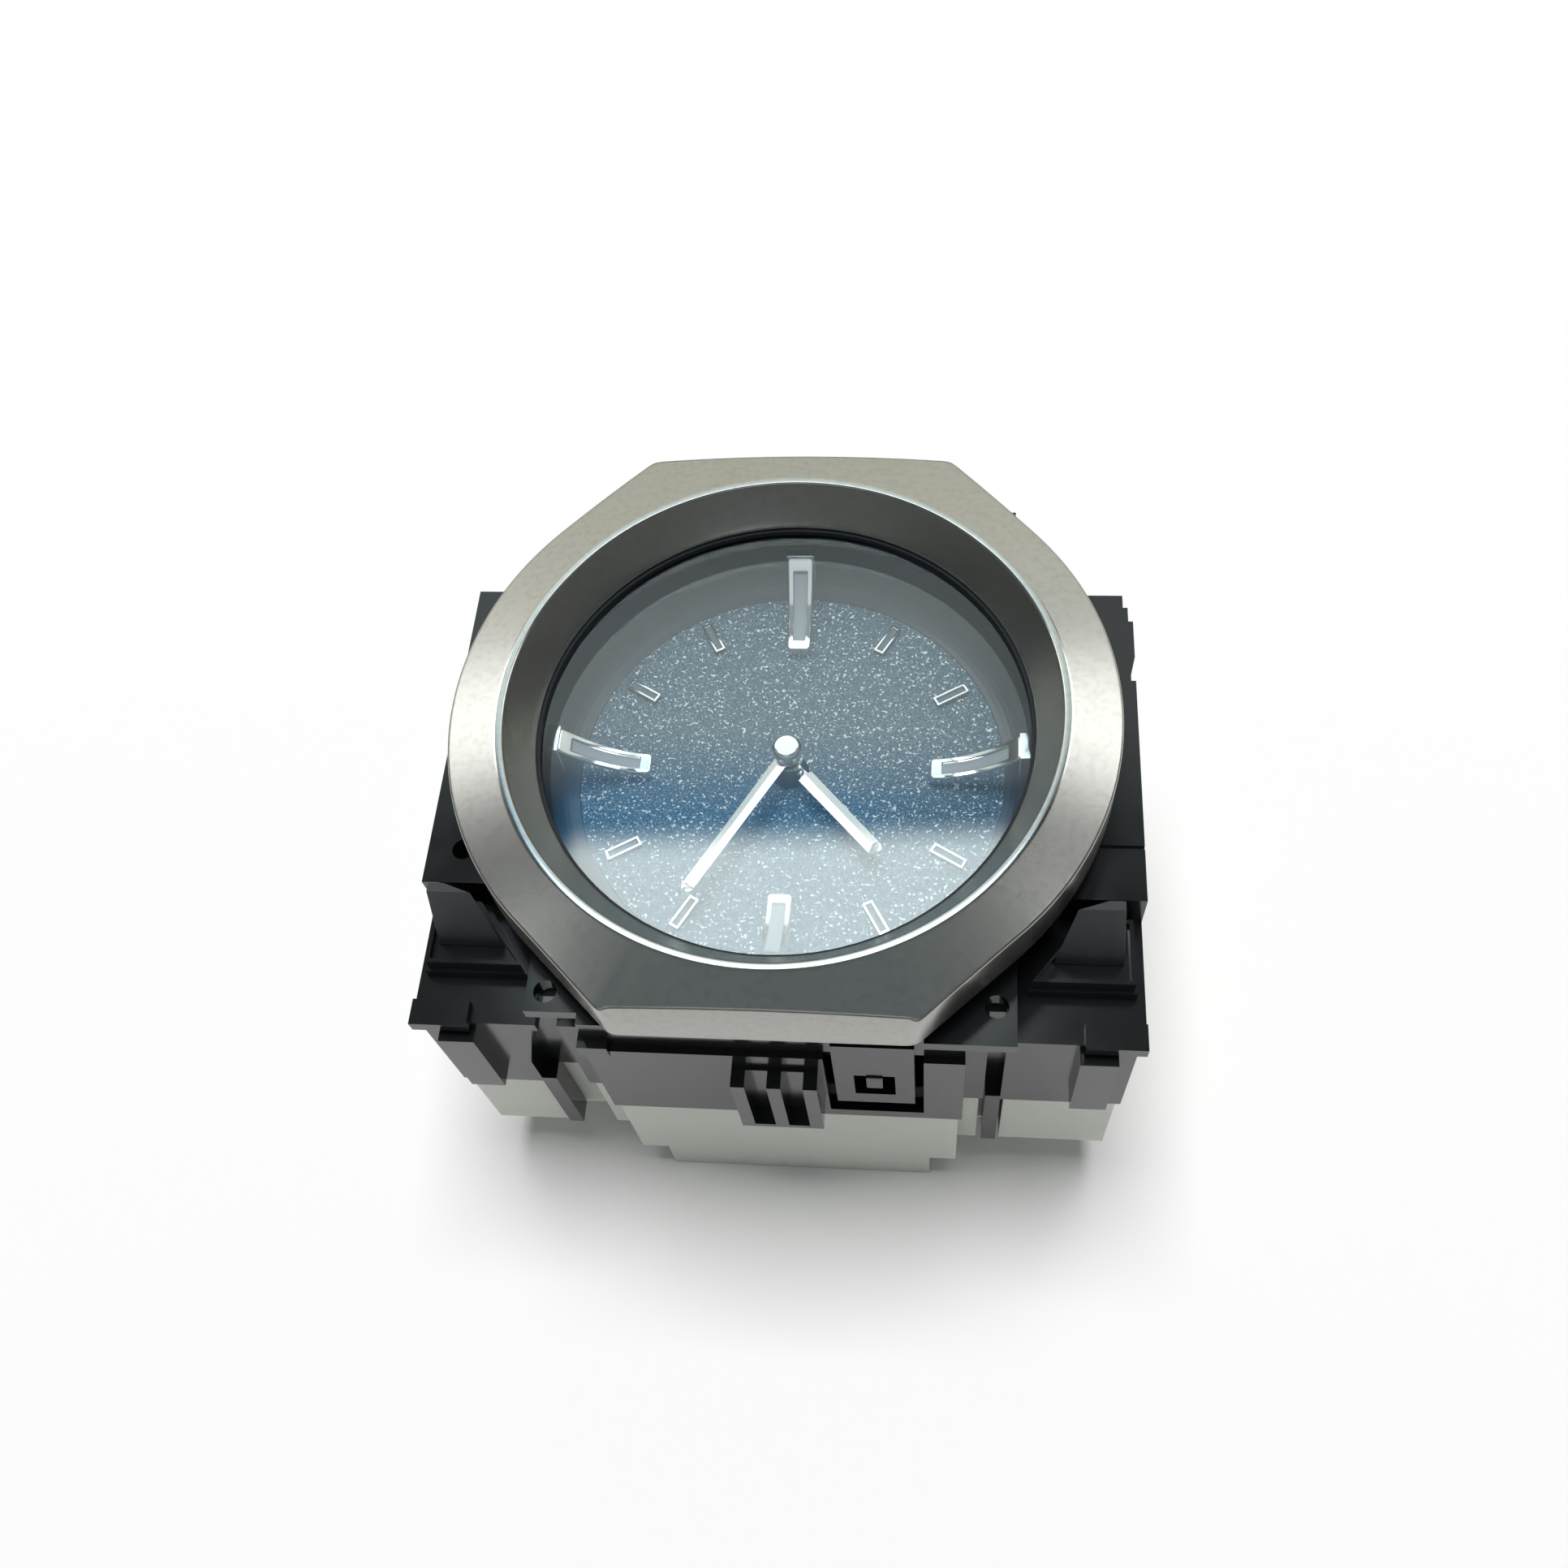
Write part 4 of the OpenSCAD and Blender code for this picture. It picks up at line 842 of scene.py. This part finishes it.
def light_card(name, x, y, radiance, colour=(1, 1, 1), height=card_height, mirrored=True):
    """A level card of light between two x and two y values, shining down. Its power is pi radiance area.
    Cards are either mirrored by smooth faces or light the matte ones."""
    data = bpy.data.lights.new(name, "AREA")
    data.shape = "RECTANGLE"
    data.size = x[1] - x[0]
    data.size_y = y[1] - y[0]
    data.energy = radiance * math.pi * data.size * data.size_y
    data.color = colour
    card = bpy.data.objects.new(name, data)
    card.location = (sum(x) / 2, sum(y) / 2, height)
    card.visible_glossy = mirrored
    card.visible_diffuse = not mirrored
    bpy.context.scene.collection.objects.link(card)


floor_white = paint("white floor", {"Base Color": (0.92, 0.92, 0.91, 1), "Roughness": 0.9}, {})
level_sheet("floor", floor_reach, floor_reach, 0, face_up, floor_white)
world = bpy.data.worlds.new("studio")
world.use_nodes = True
world_tree = world.node_tree
backdrop = world_tree.nodes["Background"]
seen = Field(world_tree, world_tree.nodes.new("ShaderNodeLightPath").outputs["Is Camera Ray"])
backdrop.inputs["Color"].default_value = (0.93, 0.98, 1, 1)
world_tree.links.new((room_dim + (1 - room_dim) * seen).socket, backdrop.inputs["Strength"])
bpy.context.scene.world = world
bpy.context.scene.view_settings.view_transform = "Standard"
light_card("left card", x=(-0.80, -0.345), y=(0.30, 0.58), radiance=4.0)
light_card("left low card", x=(-0.46, -0.36), y=(-0.045, 0.055), radiance=2.4)
light_card("right card", x=(0.175, 0.70), y=(0.275, 0.54), radiance=4.0)
light_card("right low card", x=(0.275, 0.365), y=(0.01, 0.125), radiance=2.4)
light_card("far card", x=(-2.60, 2.40), y=(0.66, 1.90), radiance=0.95, colour=(1, 0.98, 0.84))
light_card("near card", x=(-0.30, 0.20), y=(-0.75, -0.25), radiance=0.5)
light_card("sky card", x=(-0.34, 0.20), y=(-0.20, 0.07), radiance=0.06, colour=(0.25, 0.75, 1))
light_card("ceiling card", x=(-0.75, 0.75), y=(-0.25, 1.15), radiance=13.5, height=3.0, mirrored=False)
window_x = (-0.30, 0.30)
window_y = (0.19, 0.64)
window_mid = -0.0675
pane_slant = 0.05
pane_far = (0.280, 0.305)
pane_side = (0.110, 0.125)
dim_near = (0.30, 0.365)
dim_far = (0.42, 0.52)
dim_right = (0.05, 0.16)
bar_side = (0.112, 0.14)
bar_right = (0.02, 0.10)


def window_glow(place):
    """Light of the window that the lens mirrors: a bright pane that ends softly over pane_far, a deep blue
    bar behind it, and a dim pane that grows to its full light over dim_near and fades a little over
    dim_far. The dim pane and the bar also fade to the right."""
    along = place.make("SeparateXYZ", {0: place}, out="Y")
    across = place.make("SeparateXYZ", {0: place}, out="X") - window_mid
    aside = across.math("ABSOLUTE", across)
    bright_pane = (1 - (along - pane_slant * across).step(*pane_far)) * (1 - aside.step(*pane_side))
    dim_start = along.step(*dim_near)
    dim_pane = dim_start * (1 - 0.25 * along.step(*dim_far)) * (1 - 0.3 * across.step(*dim_right))
    blue_bar = (1 - dim_start) * (1 - aside.step(*bar_side)) * (1 - 0.5 * across.step(*bar_right))
    behind_pane = blue_bar.blend((0, 0, 0, 1), (0.018, 0.115, 0.24, 1))
    dim_light = (0.28 * dim_pane).blend(behind_pane, (0.88, 1, 1, 1))
    return bright_pane.blend(dim_light, (0.90, 1, 1, 1))


window_light = paint(
    "window light",
    {"Base Color": (0, 0, 0, 1), "Roughness": 1.0, "Emission Strength": 6.6},
    {"Emission Color": window_glow},
)
window = level_sheet("window", window_x, window_y, card_height, face_down, window_light)
window.visible_diffuse = False
window.visible_shadow = False

# Camera: the photograph's own view. Its directions, its place and its focal length, in pixels of the square
# photograph, come from a fit to the bezel, the dial and the upright edges.
photo_side = 1932
photo_focal_px = 1879.5
camera_right = Vector((0.9944272, 0.06770775, -0.08080963))
camera_down = Vector((0.01945894, -0.87121922, -0.49050833))
camera_ahead = Vector((-0.10361412, 0.48620236, -0.86768161))
camera_at = Vector((16.32, -80.89, 182.24)) * MM
camera_data = bpy.data.cameras.new("photo camera")
camera_data.sensor_width = 36
camera_data.lens = photo_focal_px * camera_data.sensor_width / photo_side
camera_data.clip_start = 0.01
camera = bpy.data.objects.new("photo camera", camera_data)
bpy.context.scene.collection.objects.link(camera)
camera_turn = Matrix((camera_right, -camera_down, -camera_ahead)).transposed().to_4x4()
camera.matrix_world = Matrix.Translation(camera_at) @ camera_turn
bpy.context.scene.camera = camera
